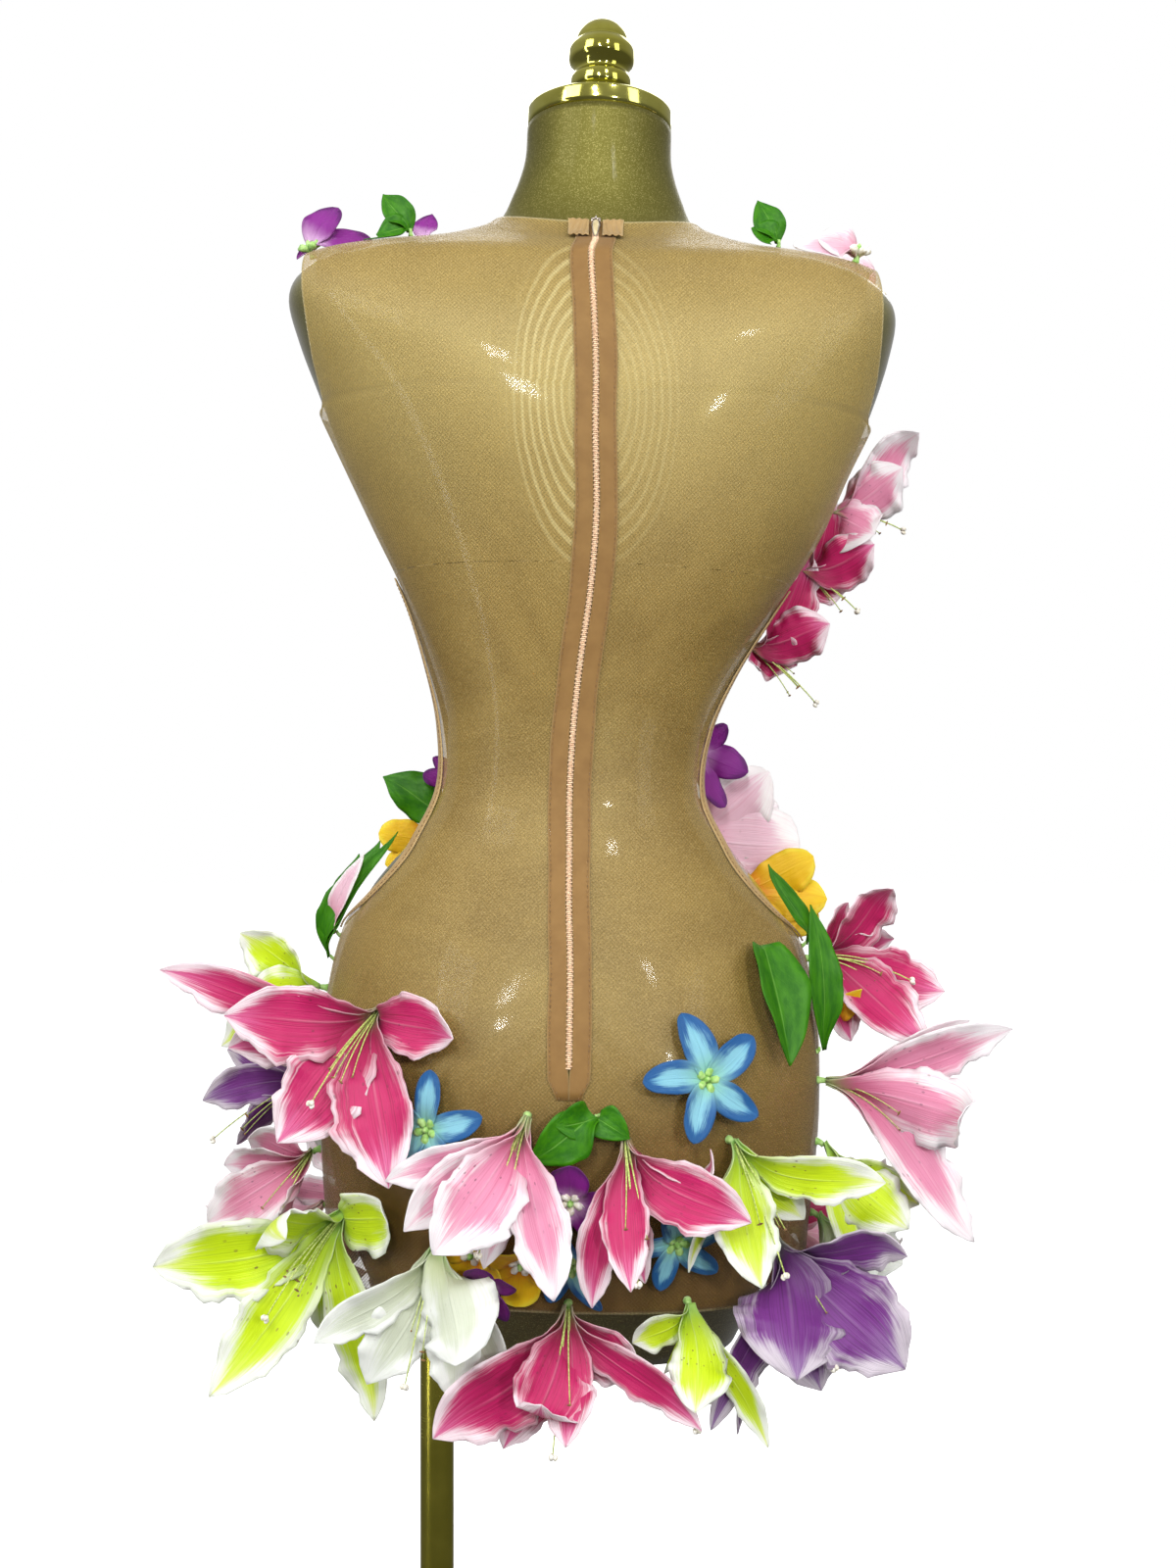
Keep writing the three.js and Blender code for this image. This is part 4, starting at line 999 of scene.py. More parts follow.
tab_rows = np.linspace(NECKLINE - 2.5, NECKLINE - 0.03, 50)
TAB_FROM, TAB_TO = 4.2, 17  # mm from the centre line
TAB_IN = TRIM_IN + TRIM_WALL + 3 * GAP
for side_name, side in SIDES:
    ends = both_edges(side, side < 0, lambda s: angle_at_reach(s, TAB_FROM),
                      lambda s: angle_at_reach(s, TAB_TO))

    def gathers(s, share, side=side):
        return 0.55 * np.sin(share * 21 + side * (1 + 2.4 * s)) * np.sin(math.pi * share) ** 0.5

    strip(f"neck_tab_cloth_{side_name}", tab_rows, *ends, TAB_IN, TAPE_WALL, 25,
                            BAND, "band", [f"neck_tab_{side_name}"], 0.2, gathers)


# Each cloth piece's cut as it lies flat: greatest width and length (mm) and area (mm2). The stretch net and
# its bands are cut about a tenth smaller than they come to on the form.
CUTS = table("""
  piece       wide long area
  back_right  218  860  119000
  back_left   218  855  118500
  front       446  850  224000
  tape        12   565  6300
  tab         15   25   350
""")


# ---- The zip -----------------------------------------------------------------------------------------
def zip_coil():
    """Two rows of nylon teeth that lock on the centre line."""
    fine = np.linspace(section_at(ZIP_END_UP), SLIDER_S - 0.62, 1500)
    path = skin(fine, 0.0, CLOTH_OFF + 1.5)
    out = surface_normal(fine, np.zeros_like(fine))
    far = lengths_along(path)
    build = Build()
    sideways = np.array([1.0, 0, 0])
    for k in range(int(far[-1] / COIL_PITCH)):
        at = k * COIL_PITCH
        centre = points_at(at, far, path)
        normal = unit(points_at(at, far, out))
        side = 1 if k % 2 else -1
        loop = [centre + sideways * side * x + normal * z for x, z in
                ((1.55, -0.9), (1.6, 0.5), (0.9, 1.0), (-0.5, 1.05), (-0.95, 0.4))]
        tube(build, loop, [0.42, 0.5, 0.56, 0.6, 0.5], 6)
    for side in (1, -1):
        step = np.linspace(0, len(fine) - 1, 240).astype(int)
        cord = path[step] + sideways * side * 1.1 + out[step] * -0.3
        tube(build, cord, 0.5, 6)
    keep(build.object("zip_teeth", [COIL]), ["zip_coil"])


def slider_axes():
    at = skin(SLIDER_S, 0.0, TRIM_IN + TRIM_WALL + 1.1)
    upwards = unit(skin(SLIDER_S + 0.3, 0.0, TRIM_IN) - skin(SLIDER_S - 0.3, 0.0, TRIM_IN))
    sideways = np.array([1.0, 0, 0])
    return at, np.stack([sideways, upwards, np.cross(sideways, upwards)])


SLIDER_AT, SLIDER_AXES = slider_axes()


def from_slider(points):
    return SLIDER_AT + np.asarray(points, float) @ SLIDER_AXES


def plate(build, outline, low, high, bevel, kind=0, place=from_slider):
    """A flat plate with softened edges, from an outline in the slider's frame."""
    outline = np.asarray(outline, float)
    centre = outline.mean(0)
    inset = centre + (outline - centre) * (1 - bevel / np.abs(outline - centre).max())
    layers = [(inset, low), (outline, low + bevel), (outline, high - bevel), (inset, high)]
    n = len(outline)
    points = np.concatenate([np.column_stack([ring, np.full(n, z)]) for ring, z in layers])
    faces = grid_faces(4, n, wrap=True)
    faces += [tuple(range(n))[::-1], tuple(3 * n + j for j in range(n))]
    build.add(place(points), faces, kind=kind)


def zip_slider():
    build = Build()
    right = [[2.2, -4.1], [2.9, -1], [3.2, 2.4], [2.6, 4.4], [0.9, 4.9]]
    left = [[-x, y] for x, y in reversed(right)]
    body = left[-1:] + right + left[:-1]
    plate(build, body, 0.0, 1.0, 0.25)
    plate(build, np.array(body) * 0.96, 1.15, 2.0, 0.3)
    for x in (-2.5, 2.5):
        ear = [[x, -1.4, 1.8], [x, -1.0, 3.6], [x, 0, PIN_HIGH], [x, 1.0, 3.6], [x, 1.4, 1.8]]
        tube(build, from_slider(ear), [0.55, 0.55, 0.6, 0.55, 0.55], 8)
    tube(build, from_slider([[-2.7, 0, PIN_HIGH], [0, 0, PIN_HIGH], [2.7, 0, PIN_HIGH]]), 0.55, 10)
    keep(build.object("zip_slider_cast", [METAL]), ["zip_slider"])


def zip_pull():
    """The drop-shaped pull: an eye on the pin, a metal rim and a cream enamel face."""
    build = Build()

    def on_pin(points):
        return from_slider(np.asarray(points, float) + [0, 0, PIN_HIGH])

    turn = np.linspace(0, 2 * math.pi, 25)[:-1]
    ring = np.stack([np.zeros(24), 1.45 * np.cos(turn), 1.45 * np.sin(turn)], -1)
    closed = np.concatenate([ring, ring[:1]])
    tube(build, on_pin(closed), 0.5, 8)
    t = np.linspace(0, 2 * math.pi, 45)[:-1]
    y = -10.6 - 8.9 * np.cos(t)
    wide = 2.5 * np.abs(np.sin(t)) ** 0.8 * (0.72 + 0.28 * np.cos(t + math.pi)) * np.sign(np.sin(t))
    drop = np.stack([wide, y, np.zeros(44)], -1)
    tube(build, on_pin(np.concatenate([drop, drop[:2]])), 0.48, 8)
    plate(build, np.stack([wide, y], -1) * [0.92, 1], -0.5, 0.5, 0.25, 1, on_pin)
    keep(build.object("zip_pull_drop", [METAL, ENAMEL]), ["zip_pull"], "pull")


zip_coil()
zip_slider()
zip_pull()


# ---- Silk flowers ------------------------------------------------------------------------------------
PETALS = table("""
  shape wide full cup blunt
  broad .40  .62  .22 .92
  slim  .28  .58  .2  .95
  round .86  .58  .10 .5
  oval  .52  .52  .14 .62
  blade .30  .42  .16 1.1
""")
SHAPES = {row["shape"]: row for row in PETALS}
KINDS = {
    "lily": dict(petals=("broad", "slim"), count=6, vary=9, foot=2.6, rise=3.5, bow=-.1, hook=34, ruffle=1,
                 crown=1),
    "orchid": dict(petals=("round", "oval", "round", "oval", "oval"), count=5, vary=5, foot=2.5, rise=3,
                   bow=.04, hook=12, ruffle=.5, crown=3),
    "leaf": dict(petals=("blade",), foot=1.6, rise=2, ruffle=.35, crown=1),
    "star": dict(petals=("oval",), count=5, vary=5, foot=2.5, rise=3, bow=.06, hook=14, ruffle=.3, crown=1),
}


def petal_width(shape, u, start):
    past = np.clip(1 - ((u - shape["full"]) / (1 - shape["full"])) ** 2, 0, None) ** shape["blunt"]
    before = start + (1 - start) * smoothstep(0.08 + 0.92 * u / shape["full"]) ** 0.9
    return np.where(u >= shape["full"], past, before)


def aim(turn, lift, roll):
    t, l, r = (math.radians(x) for x in (turn, lift, roll))
    axis = np.array([math.sin(t) * math.cos(l), -math.cos(t) * math.cos(l), math.sin(l)])
    top = unit(np.array([0, 0, 1.0]) - axis * axis[2])
    side = np.cross(axis, top)
    top = top * math.cos(r) + side * math.sin(r)
    return np.stack([top, np.cross(axis, top), axis])


def petal(build, neck, axis, outward, spec, shape, seed, ruffle):
    """One petal from the flower's neck to its tip.

    It leaves along the flower's axis, arches by bow (a share of its length), turns its back from the flower's
    axis towards outward by face, and folds over by hook degrees."""
    steps, columns = 30, 13
    tip = np.asarray(spec["tip"], float)
    length = np.linalg.norm(tip)
    radial = unit(tip - axis * np.dot(tip, axis) + 1e-3 * outward)
    facing = unit(radial * (1 - spec["face"]) + outward * spec["face"])
    straight = tip / length
    arch = unit(facing - straight * np.dot(facing, straight))
    t = np.linspace(0, 1, steps)
    a, b, c = axis * 0.34 * length, tip * 0.7 + arch * spec["bow"] * length, tip
    path = (3 * t * (1 - t) ** 2)[:, None] * a + (3 * t * t * (1 - t))[:, None] * b + (t ** 3)[:, None] * c
    step = np.linalg.norm(np.diff(path, axis=0, prepend=path[:1]), axis=1)
    tangent = unit(np.gradient(path, axis=0))
    around = np.cross(np.cross(axis, radial), tangent)
    # -1 where the petal shows its inner side outwards
    inside = -1 if spec["face"] > 0.5 and np.dot(around[-1], outward) < 0 else 1
    turned = spec["face"] * smoothstep(t * 2.2)[:, None]
    back = unit(around) * inside * (1 - turned) + outward * turned
    back = unit(back - tangent * np.sum(back * tangent, axis=1, keepdims=True))
    fold = (math.radians(spec["hook"]) * smoothstep((t - 0.66) / 0.3))[:, None]
    folded = tangent * np.cos(fold) + back * np.sin(fold)
    back = back * np.cos(fold) - tangent * np.sin(fold)
    tangent = folded
    side = np.cross(tangent, back)
    sweep = 0.05 * length * math.sin(seed * 5.3) * np.sin(math.pi * t) * smoothstep(t * 3)
    centre = radial * 2.0 + np.cumsum(tangent * step[:, None], axis=0) + side * sweep[:, None]
    full = spec["wide"] / 2
    half = np.maximum(full * petal_width(shape, t, 2.6 / full), 0.3)
    v = np.linspace(-1, 1, columns)
    phase = np.where(v > 0, seed * 1.7, seed * 2.9 + 1.3)[None, :]
    # ruffles run along both margins, warp twists the petal, cup hollows it and rib lifts its middle
    beat = (t * length / RUFFLE_PITCH)[:, None]
    wave = np.sin(2 * math.pi * beat + phase) + 0.6 * np.sin(2 * math.pi * beat * 2.3 + phase * 2.1)
    grown = smoothstep(t * 2.2 - 0.3)[:, None]
    ruffled = ruffle * 0.14 * half[:, None] * np.abs(v[None, :]) ** 2.2 * wave * grown
    warp = 0.15 * half[:, None] * v[None, :] * np.sin(5.5 * t[:, None] + seed)
    cup = -inside * shape["cup"] * 2 * half[:, None] * (1 - 0.7 * t[:, None]) * np.abs(v[None, :]) ** 1.7
    rib = 0.7 * np.exp(-(v[None, :] / 0.12) ** 2) * (1 - t[:, None])
    lean = 1 + 0.12 * np.sign(v) * math.sin(seed * 3.1)
    spread = half[:, None] * v[None, :] * (lean[None, :] + 0.06 * ruffle * wave * np.abs(v[None, :]) ** 4)
    points = neck + centre[:, None] + side[:, None] * spread[..., None]
    points = points + back[:, None] * (cup + ruffled + warp + rib)[..., None]
    points = clear_of_body(points, CLOTH_OUT + PETAL_OFF + 0.4)
    shade = np.stack(np.broadcast_arrays(t[:, None], v[None, :], np.full((1, 1), seed)), -1)
    thick_sheet(build, points, 0.6, shade)


def lay_foot(build, place, normal, axis, kind, radius):
    """The pale green foot that is sewn to the net, and the stem up to the neck."""
    base = place + normal * 0.25
    neck = place + normal * kind["rise"]
    path = [base, base + normal * 0.8, base + (neck - base) * 0.6, neck + axis * 1.0, neck + axis * 3.0]
    tube(build, path, [radius, radius, radius * 0.8, radius * 0.7, radius * 0.6], 12, kind=1)


def stamens(build, neck, axis, reach, seed, count=5):
    """Thin filaments round a pistil, whose end carries small pale beads; they droop a little."""
    across = unit(np.cross(axis, [0.3, 0.2, 0.9]))
    above = np.cross(axis, across)
    t = np.linspace(0, 1, 9)
    for k in range(count + 1):
        pistil = k == count
        turn = 2 * math.pi * (k + 0.3 * scatter(seed, k + 40)) / count
        long_ = reach * (1.12 if pistil else 0.78 + 0.12 * scatter(seed, k + 60))
        wide = long_ * (0.03 if pistil else 0.16 + 0.06 * scatter(seed, k + 80))
        off = math.cos(turn) * across + math.sin(turn) * above
        path = neck + axis * (2 + long_ * t)[:, None] + off * (1.2 + wide * t ** 1.6)[:, None]
        path[:, 2] -= 0.28 * long_ * t ** 2
        path = clear_of_body(path, CLOTH_OUT + PETAL_OFF + 1.6)
        tube(build, path, np.linspace(0.55, 0.32, 9) * (1.3 if pistil else 1), 6, kind=2)
        ahead = unit(path[-1] - path[-2])
        if pistil:
            for bead in range(3):
                spin = bead * 2.1 + seed
                at = path[-1] + 1.5 * (math.cos(spin) * across + math.sin(spin) * above) + ahead * 0.6
                blob(build, at, ahead, 3.8, 3.0, 3)
        else:
            blob(build, path[-1] + ahead * 0.4, unit(np.cross(ahead, off)), 4.2, 1.3, 4)


BLOOMS = table("""
  name              kind   hue    up   angle turn lift roll long open
  lily_01           lily   hot    -141 -43   -28  -26  30   112  95
  lily_02           lily   lime   -140 -88   -78  6    0    88   52
  lily_03           lily   violet -196 -82   -74  -18  30   82   44
  lily_04           lily   blush  -240 -78   -70  -48  0    74   42
  lily_05           lily   lime   -262 -51   -38  -30  24   110  72
  lily_06           lily   white  -266 -24   -22  -60  0    82   42
  lily_07           lily   blush  -193 -8    -30  -52  20   92   50
  lily_08           lily   hot    -203 11    16   -55  0    90   52
  lily_09           lily   lime   -206 33    42   -48  0    84   48
  lily_10           lily   violet -268 47    46   -46  0    106  60
  lily_11           lily   hot    -303 1     -4   -52  0    96   62
  lily_12           lily   lime   -302 25    16   -64  22   66   46
  lily_13           lily   blush  -184 73    74   -3   22   106  42
  lily_14           lily   hot    -112 91    76   6    0    88   52
  lily_15           lily   lime   -222 72    68   -52  0    65   46
  lily_16           lily   white  -272 80    76   -52  0    70   50
  lily_17           lily   shell  -300 107   107  -40  0    84   60
  lily_18           lily   white  -188 -110  -95  -20  0    84   60
  lily_19           lily   shell  -286 -96   -95  -40  20   84   54
  lily_20           lily   hot    -290 136   138  -45  0    90   62
  lily_21           lily   lime   -285 167   167  -45  0    90   62
  lily_22           lily   violet -290 199   199  -45  0    90   62
  lily_23           lily   blush  -285 228   231  -45  0    90   62
  orchid_blue_1     star   sky    -171 27    20   15   18   38   80
  orchid_blue_2     star   sky    -203 -27   -25  5    0    33   80
  orchid_plum_2     orchid plum   24   124   115  30   0    38   70
  orchid_shell_1    orchid shell  -36  142   112  8    0    38   75
  orchid_gold_2     orchid gold   -78  128   110  20   0    38   70
  orchid_plum_4     star   plum   332  -75   -40  60   0    44   60
  orchid_shell_2    orchid shell  334  60    30   75   0    32   70
  orchid_shell_3    orchid shell  330  100   70   60   0    46   70
  lily_26           lily   blush  192  104   98   5    0    62   52
  lily_27           lily   hot    154  106   100  -20  0    52   54
  lily_28           lily   hot    102  112   100  -25  0    66   54
  leaf_01           leaf   leaf   -192 6     -60  12   0    38   0
  leaf_07           leaf   leaf   344  -52   0    66   0    48   0
  leaf_08           leaf   leaf   344  51    0    70   0    52   0
  leaf_04           leaf   leaf   -166 73    -5   60   0    86   0
""")
# Small flowers and leaves that ride on the net between the large ones; no solid stands for them.
TUCKED = table("""
  name              kind   hue    up   angle turn lift roll long open
  tucked_plum_1     orchid plum   -239 1     -6   -20  0    26   72
  tucked_plum_2     orchid plum   -291 -14   -20  -30  0    22   60
  tucked_gold_1     orchid gold   -271 -17   -30  -36  10   24   60
  tucked_gold_2     orchid gold   -276 -8    -6   -36  30   26   60
  tucked_sky_1      star   sky    -276 2     -30  -20  0    28   66
  tucked_sky_2      star   sky    -262 21    14   -20  20   30   66
  tucked_gold_3     orchid gold   -45  -130  -110 0    0    26   60
  tucked_plum_3     orchid plum   -5   -128  -110 0    0    20   60
  tucked_leaf_1     leaf   leaf   -30  -128  -110 10   0    30   0
  tucked_leaf_2     leaf   leaf   -122 -92   -80  50   0    70   0
  tucked_bud_1      leaf   shell  -106 -90   -80  60   0    40   0
  tucked_leaf_3     leaf   leaf   -104 92    70   50   0    60   0
  tucked_plum_4     leaf   plum   350  -86   -60  60   0    20   0
  tucked_gold_4     leaf   gold   -150 84    80   20   0    26   0
""")
LEAVES = table("""
  name    up   angle turn lift roll long wide
  leaf_03 -95  50    176  8    16   76   42
""")


# The petals of the flowers that the wearer's back shows, under each flower's name. Each tip is given from the
# flower's neck, in mm to the right, upwards and out behind; wide is the petal's width, and petal() says what
# face, bow and hook are.
TIPS = grouped("""
  flower right up out wide face bow hook
  lily_01
    -120 18 10 28 .6 .04 0
    -78 -2 34 42 .9 .07 0
    -80 -22 14 34 .8 .02 0
    -48 -66 38 46 .85 .05 0
    12 -86 44 44 1 .12 10
    46 -8 34 34 .85 .12 35
  lily_02
    -46 28 10 28 .85 .02 0
    -38 -4 26 24 .85 .06 0
    -50 -14 10 26 .75 0 20
    -55 -32 6 26 .75 .02 0
    -20 -40 0 24 .4 0 0
  lily_03
    -60 -14 12 24 .85 .08 0
    -44 -38 0 26 .5 .02 0
    -50 12 0 24 .5 0 0
    -24 -50 -6 24 .4 0 0
  lily_04
    -56 -42 10 36 .9 .08 0
    -36 8 6 28 .8 .02 40
    -50 -12 0 30 .6 0 0
    -20 -50 0 26 .4 0 0
  lily_05
    -98 -27 30 46 1 .1 0
    -66 -92 35 36 .9 .05 0
    20 -106 24 32 .85 .03 0
    34 4 26 38 .9 .16 70
    -44 10 52 40 .8 .12 120
    -12 -66 6 26 .6 0 0
  lily_06
    -64 -49 30 26 .85 .08 30
    9 -82 25 34 .9 .06 0
    35 -75 15 30 .85 .08 0
    16 -56 50 46 1 .12 40
    -35 -76 20 36 .9 .05 0
    -10 -60 -4 28 .4 0 0
  lily_07
    -74 -36 15 24 .9 .06 0
    -63 -59 25 32 .9 .05 20
    -44 -65 48 44 1 .08 0
    -21 -79 20 24 .8 .03 0
    16 -88 42 32 1 .07 0
    0 -60 -4 28 .4 0 0
  lily_08
    -14 -86 28 24 .9 .04 0
    6 -72 42 26 1 .06 0
    13 -76 15 22 .8 0 0
    66 -38 30 36 1 .08 0
    56 -24 10 22 .4 .02 120
    -4 -56 -4 24 .4 0 0
  lily_09
    79 -16 28 28 .9 .06 0
    17 -70 35 36 1 .05 0
    -21 -68 18 9 .8 -.06 0
    40 -42 5 28 .6 0 0
    -4 -50 0 24 .4 0 0
  lily_10
    70 8 30 28 .7 .1 50
    10 -60 50 62 1 .1 0
    68 -62 30 54 1 .05 0
    28 -79 15 46 .9 0 0
    -32 -96 30 24 .75 .03 0
    -16 -106 10 12 .75 -.05 0
  lily_11
    -69 -64 25 46 .9 .1 20
    -20 -60 46 44 1 .1 125
    0 -61 42 28 1 .05 0
    72 -58 25 24 .85 -.05 0
    -32 -77 10 30 .8 0 0
    34 -40 5 34 .6 .1 0
  lily_12
    3 -47 36 34 1 .1 0
    -29 -20 10 24 .7 .05 0
    43 -74 15 17 .8 -.03 0
    20 -50 5 20 .6 0 0
    -12 -40 0 22 .4 0 0
  lily_13
    82 34 0 22 .85 .04 0
    102 32 15 30 .9 .06 0
    90 -14 30 42 1 .08 110
    84 -80 20 32 .9 .08 0
    76 -28 -5 26 .6 0 0
    70 -50 0 32 .7 .05 0
  lily_14
    20 30 -5 18 .6 0 20
    42 44 15 32 .8 -.12 30
    74 -14 10 36 .9 .05 0
    61 -39 28 36 1 .06 0
    22 -42 15 28 .6 .05 0
    50 10 -15 26 .4 0 0
  lily_15
    45 -43 20 36 .9 .1 0
    54 -34 4 32 .8 .05 0
    22 -60 20 24 .9 .03 0
    30 -20 0 24 .5 0 0
  lily_16
    46 -26 10 36 .9 .05 20
    28 -48 20 32 .9 .02 0
    50 -6 0 26 .6 0 0
    8 -50 5 26 .6 0 0
  lily_26
    46 48 0 30 .9 .1 60
    40 24 6 34 .9 .06 0
    24 -12 12 36 1 .05 0
    34 4 -8 28 .6 0 0
  lily_27
    40 12 10 32 .9 .06 0
    14 40 4 26 .9 .02 0
    30 -10 -6 26 .6 0 0
  lily_28
    45 10 10 32 .9 .06 0
    34 50 6 34 .9 .04 0
    0 -10 16 24 .9 .1 0
    30 -12 -6 28 .6 0 0
  orchid_shell_1
    72 -2 0 44 1 .04 0
    54 36 0 40 1 .04 0
    38 -28 4 32 1 .04 0
    60 18 -6 40 1 .04 0
  orchid_gold_2
    44 24 0 26 1 .04 0
    52 2 0 30 1 .04 0
    48 -12 0 26 1 .04 0
  orchid_plum_2
    22 16 0 13 1 .04 0
    34 -8 0 19 1 .04 0
    22 -28 0 13 1 .04 0
  orchid_shell_2
    -34 6 0 16 1 .04 0
    -20 12 0 18 1 .04 0
    0 8 0 18 1 .04 0
  orchid_shell_3
    -50 14 0 22 1 .04 0
    -32 20 0 28 1 .04 0
    -8 2 0 24 1 .04 0
  orchid_plum_4
    12 26 0 20 1 .04 0
    -4 4 0 14 1 .04 0
    32 8 0 14 1 .04 0
  leaf_01
    -38 -22 9 29 1 .12 0
    -24 -2 10 22 1 .1 0
    16 -9 8 19 1 .12 0
  leaf_07
    -15 22 -2 17 1 .06 0
    -17 -2 2 20 1 .04 0
  leaf_08
    -11 25 -2 18 1 .04 0
    -14 8 2 17 1 .04 0
  leaf_04
    -8 82 6 21 1 .05 0
  tucked_gold_3
    -34 3 0 20 1 .04 0
    -30 -13 0 16 1 .04 0
  tucked_plum_3
    -22 5 0 11 1 .04 0
    -17 14 0 10 1 .04 0
  tucked_leaf_1
    -38 22 -4 28 1 .04 0
  tucked_leaf_2
    34 72 4 16 1 .02 0
    22 66 -4 22 1 .04 0
    10 58 -8 20 1 .04 0
  tucked_bud_1
    12 46 4 12 .9 .04 0
  tucked_leaf_3
    -20 44 4 13 1 .02 0
  tucked_plum_4
    2 16 -2 15 1 .02 0
  tucked_gold_4
    22 18 6 14 1 .05 20
    8 22 0 12 1 .05 0
""")


def even_petals(spec, kind, axes, number):
    """Petals set evenly round a flower's axis, for the flowers without petals of their own in TIPS."""
    made = []
    for k in range(kind["count"]):
        turn = 2 * math.pi * k / kind["count"]
        open_ = math.radians(spec["open"] + kind["vary"] * scatter(number, k))
        length = spec["long"] * (1 + 0.06 * scatter(number, k + 9))
        radial = math.cos(turn) * axes[0] + math.sin(turn) * axes[1]
        made.append({
            "tip": (axes[2] * math.cos(open_) + radial * math.sin(open_)) * length,
            "wide": SHAPES[kind["petals"][k % len(kind["petals"])]]["wide"] * length,
            "face": 0, "bow": kind["bow"], "hook": kind["hook"] * (1 + 0.6 * scatter(number, k + 20)),
        })
    return made


def sewn_at(spec):
    """Where a flower or leaf is sewn to the net, and the way out from there."""
    s = section_at(spec["up"])
    angle = math.radians(spec["angle"])
    return skin(s, angle, CLOTH_OUT), surface_normal(s, np.float64(angle))


def flower(spec, number, replaced=True):
    kind = KINDS[spec["kind"]]
    place, normal = sewn_at(spec)
    axes = aim(spec["turn"], spec["lift"], spec["roll"])
    neck = place + normal * (GAP + kind["rise"])
    spread = 1 + place[1] / EYE_AWAY + LARGER_AT_AXIS
    own = [dict(row, tip=np.array([row["right"], -row["out"], row["up"]]) * spread, wide=row["wide"] * spread)
           for row in TIPS if row["flower"] == spec["name"]]
    petals = own or even_petals(spec, kind, axes, number)
    eye_way = unit(0.3 * normal + [0, -1, 0])
    build = Build()
    for k, row in enumerate(petals):
        shape = SHAPES[kind["petals"][k % len(kind["petals"])]]
        seed = number * 7.31 + k * 1.17
        petal(build, neck, axes[2], eye_way if own else normal, row, shape, seed, kind["ruffle"])
    lay_foot(build, place, normal, axes[2], kind, kind["foot"])
    if spec["kind"] == "lily":
        stamens(build, neck, axes[2], min(spec["long"], STAMEN_PETAL) * STAMEN_SHARE, number)
    elif spec["kind"] != "leaf":
        for k in range(5):
            turn = 2 * math.pi * (k + 0.5) / 5
            path = [neck + np.array([math.cos(turn) * r, math.sin(turn) * r, z]) @ axes
                    for r, z in ((1.0, 1.5), (3.5, 4.0), (6.0, 5.0), (8.5, 4.6))]
            path = clear_of_body(np.array(path), CLOTH_OUT + 4)
            tube(build, path, [1.0, 2.2, 2.6, 1.0], 8, kind=kind["crown"])
        blob(build, neck + axes[2] * 5, axes[2], 8, 4, 1)
    made = build.object("silk_" + spec["name"], [SILK[spec["hue"]], GREEN, STAMEN, ANTHER, RUST])
    keep(made, [spec["name"]] if replaced else ())


def leaf(spec, number):
    """A leaf that curls away from the net, folded a little along its rib."""
    place, normal = sewn_at(spec)
    turn, lift, roll = (math.radians(spec[k]) for k in ("turn", "lift", "roll"))
    level = unit(np.cross([0, 0, 1.0], normal))
    flat = np.cross(normal, level) * math.cos(turn) - level * math.sin(turn)
    across = unit(np.cross(normal, flat))
    steps, columns = 26, 13
    u = np.linspace(0, 1, steps)
    v = np.linspace(-1, 1, columns)
    rise = lift - roll * u
    forward = flat[None] * np.cos(rise)[:, None] + normal[None] * np.sin(rise)[:, None]
    out = unit(np.cross(forward, across[None]))
    centre = place + normal * 0.9 + np.cumsum(forward * (spec["long"] / (steps - 1)), axis=0)
    half = spec["wide"] / 2 * np.sin(math.pi * (0.1 + 0.9 * u) ** 0.8) ** 0.85
    half = np.maximum(half, 0.5)
    wave = 0.05 * half[:, None] * np.abs(v) ** 3 * np.sin(14 * u[:, None] + number + 2 * np.sign(v))
    fold = 0.5 * half[:, None] * np.abs(v[None, :]) ** 1.15
    points = (centre[:, None] + across * (half[:, None] * v)[..., None]
              + out[:, None] * (fold + wave)[..., None])
    points[1:] = clear_of_body(points[1:], CLOTH_OUT + LEAF_OFF + 0.3)
    shade = np.stack(np.broadcast_arrays(u[:, None], v[None, :], np.full((1, 1), number * 3.7)), -1)
    build = Build()
    thick_sheet(build, points, 0.7, shade)
    keep(build.object("silk_" + spec["name"], [LEAF]), [spec["name"]])


for number, spec in enumerate(BLOOMS):
    flower(spec, number)
for number, spec in enumerate(TUCKED):
    flower(spec, number + TUCKED_SEEDS, replaced=False)
for number, spec in enumerate(LEAVES):
    leaf(spec, number + len(BLOOMS))

# ---- Camera, light and floor -------------------------------------------------------------------------
scene = bpy.context.scene
camera_data = bpy.data.cameras.new("camera")
camera_data.sensor_width = 36
camera_data.sensor_fit = "AUTO"
camera_data.lens = 34.875
camera = bpy.data.objects.new("camera", camera_data)
camera.location = (0.1001, -1.0075, 0.990)
camera.rotation_euler = (math.pi / 2, 0, 0)
scene.collection.objects.link(camera)
scene.camera = camera


def area_light(name, place, target, size, power):
    data = bpy.data.lights.new(name, "AREA")
    data.shape = "RECTANGLE"
    data.size, data.size_y = size
    data.energy = power
    made = bpy.data.objects.new(name, data)
    made.location = place
    way = Vector(target) - Vector(place)
    made.rotation_euler = way.to_track_quat("-Z", "Y").to_euler()
    scene.collection.objects.link(made)


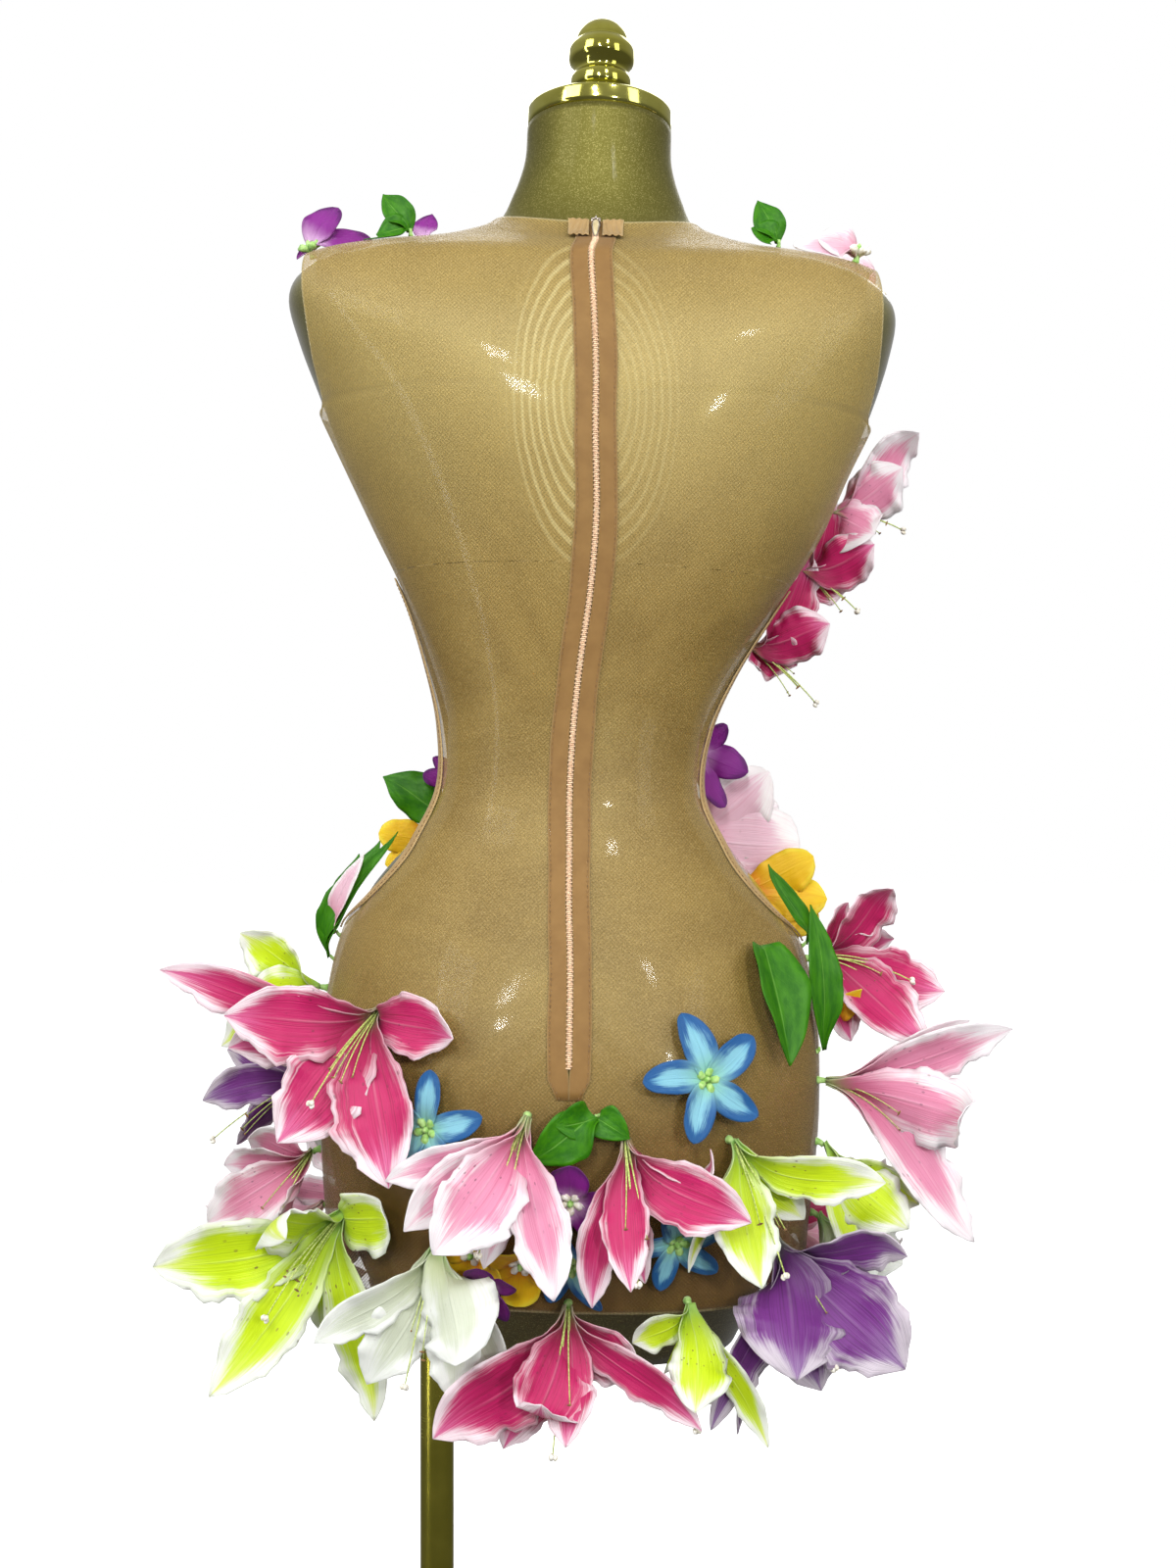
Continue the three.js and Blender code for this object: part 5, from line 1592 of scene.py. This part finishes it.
LIGHTS = table("""
  light      x     y     z    at_z wide high power
  key        -1.7  -1.9  2.5  1.05 1.2  1.0  26
  fill       2.2   -1.6  1.7  0.95 0.7  1.8  18
  back       0.2   1.6   2.6  1.1  1.8  1.2  22
  strip_left -1.7  -1.2  1.2  0.95 0.16 2.2  12
  spot_left  -0.12 -2.1  1.85 1.2  0.15 0.15 11
  spot_low   -0.16 -1.91 2.13 0.9  0.16 0.16 8
  spot_right 0.96  -2.14 1.44 1.2  0.16 0.16 15
  spot_hip   0.74  -1.65 2.33 0.9  0.16 0.16 8
""")
for row in LIGHTS:
    place, target = (row["x"], row["y"], row["z"]), (0.1, 0, row["at_z"])
    area_light(row["light"], place, target, (row["wide"], row["high"]), row["power"])

world = bpy.data.worlds.new("studio")
world.use_nodes = True
scene.world = world
tree = world.node_tree
tree.nodes.clear()


def world_node(kind, **inputs):
    made = tree.nodes.new("ShaderNode" + kind)
    for key, value in inputs.items():
        made.inputs[key].default_value = value
    return made


# the camera sees plain white; what lights the form is a sky that is brighter above than at the horizon
direction = world_node("TexCoord")
split = world_node("SeparateXYZ")
tree.links.new(direction.outputs["Generated"], split.inputs[0])
ramp = world_node("MapRange")
for socket, value in zip(list(ramp.inputs)[1:5], (-0.15, 0.8, 0.16, 0.66)):
    socket.default_value = value
tree.links.new(split.outputs[2], ramp.inputs[0])
lighting = world_node("Background", Color=WHITE)
tree.links.new(ramp.outputs[0], lighting.inputs["Strength"])
backdrop = world_node("Background", Color=WHITE, Strength=1.0)
rays = world_node("LightPath")
either = world_node("MixShader")
tree.links.new(rays.outputs["Is Camera Ray"], either.inputs[0])
tree.links.new(lighting.outputs[0], either.inputs[1])
tree.links.new(backdrop.outputs[0], either.inputs[2])
world_out = world_node("OutputWorld")
tree.links.new(either.outputs[0], world_out.inputs["Surface"])
scene.view_settings.view_transform = "Standard"

floor_mesh = bpy.data.meshes.new("floor")
corners = [(14 * x, 14 * y, 0) for x, y in ((-1, -1), (1, -1), (1, 1), (-1, 1))]
floor_mesh.from_pydata(corners, [], [(0, 1, 2, 3)])
floor = bpy.data.objects.new("floor", floor_mesh)
scene.collection.objects.link(floor)
m = Nodes("pale_floor")
grain = m.noise(m.place(), 6.0, 4.0)
pale = m.mix(m.smooth(grain, 0.3, 0.7), (0.86, 0.86, 0.86, 1), (0.9, 0.9, 0.9, 1))
floor_mesh.materials.append(m.done(m.principled(
    pale, 0.9, m.bump(grain, 0.05, 0.001), Emission_Color=WHITE, Emission_Strength=0.7)))
# no diffuse or glossy ray meets the floor, so its white lights nothing
floor.visible_diffuse = floor.visible_glossy = False
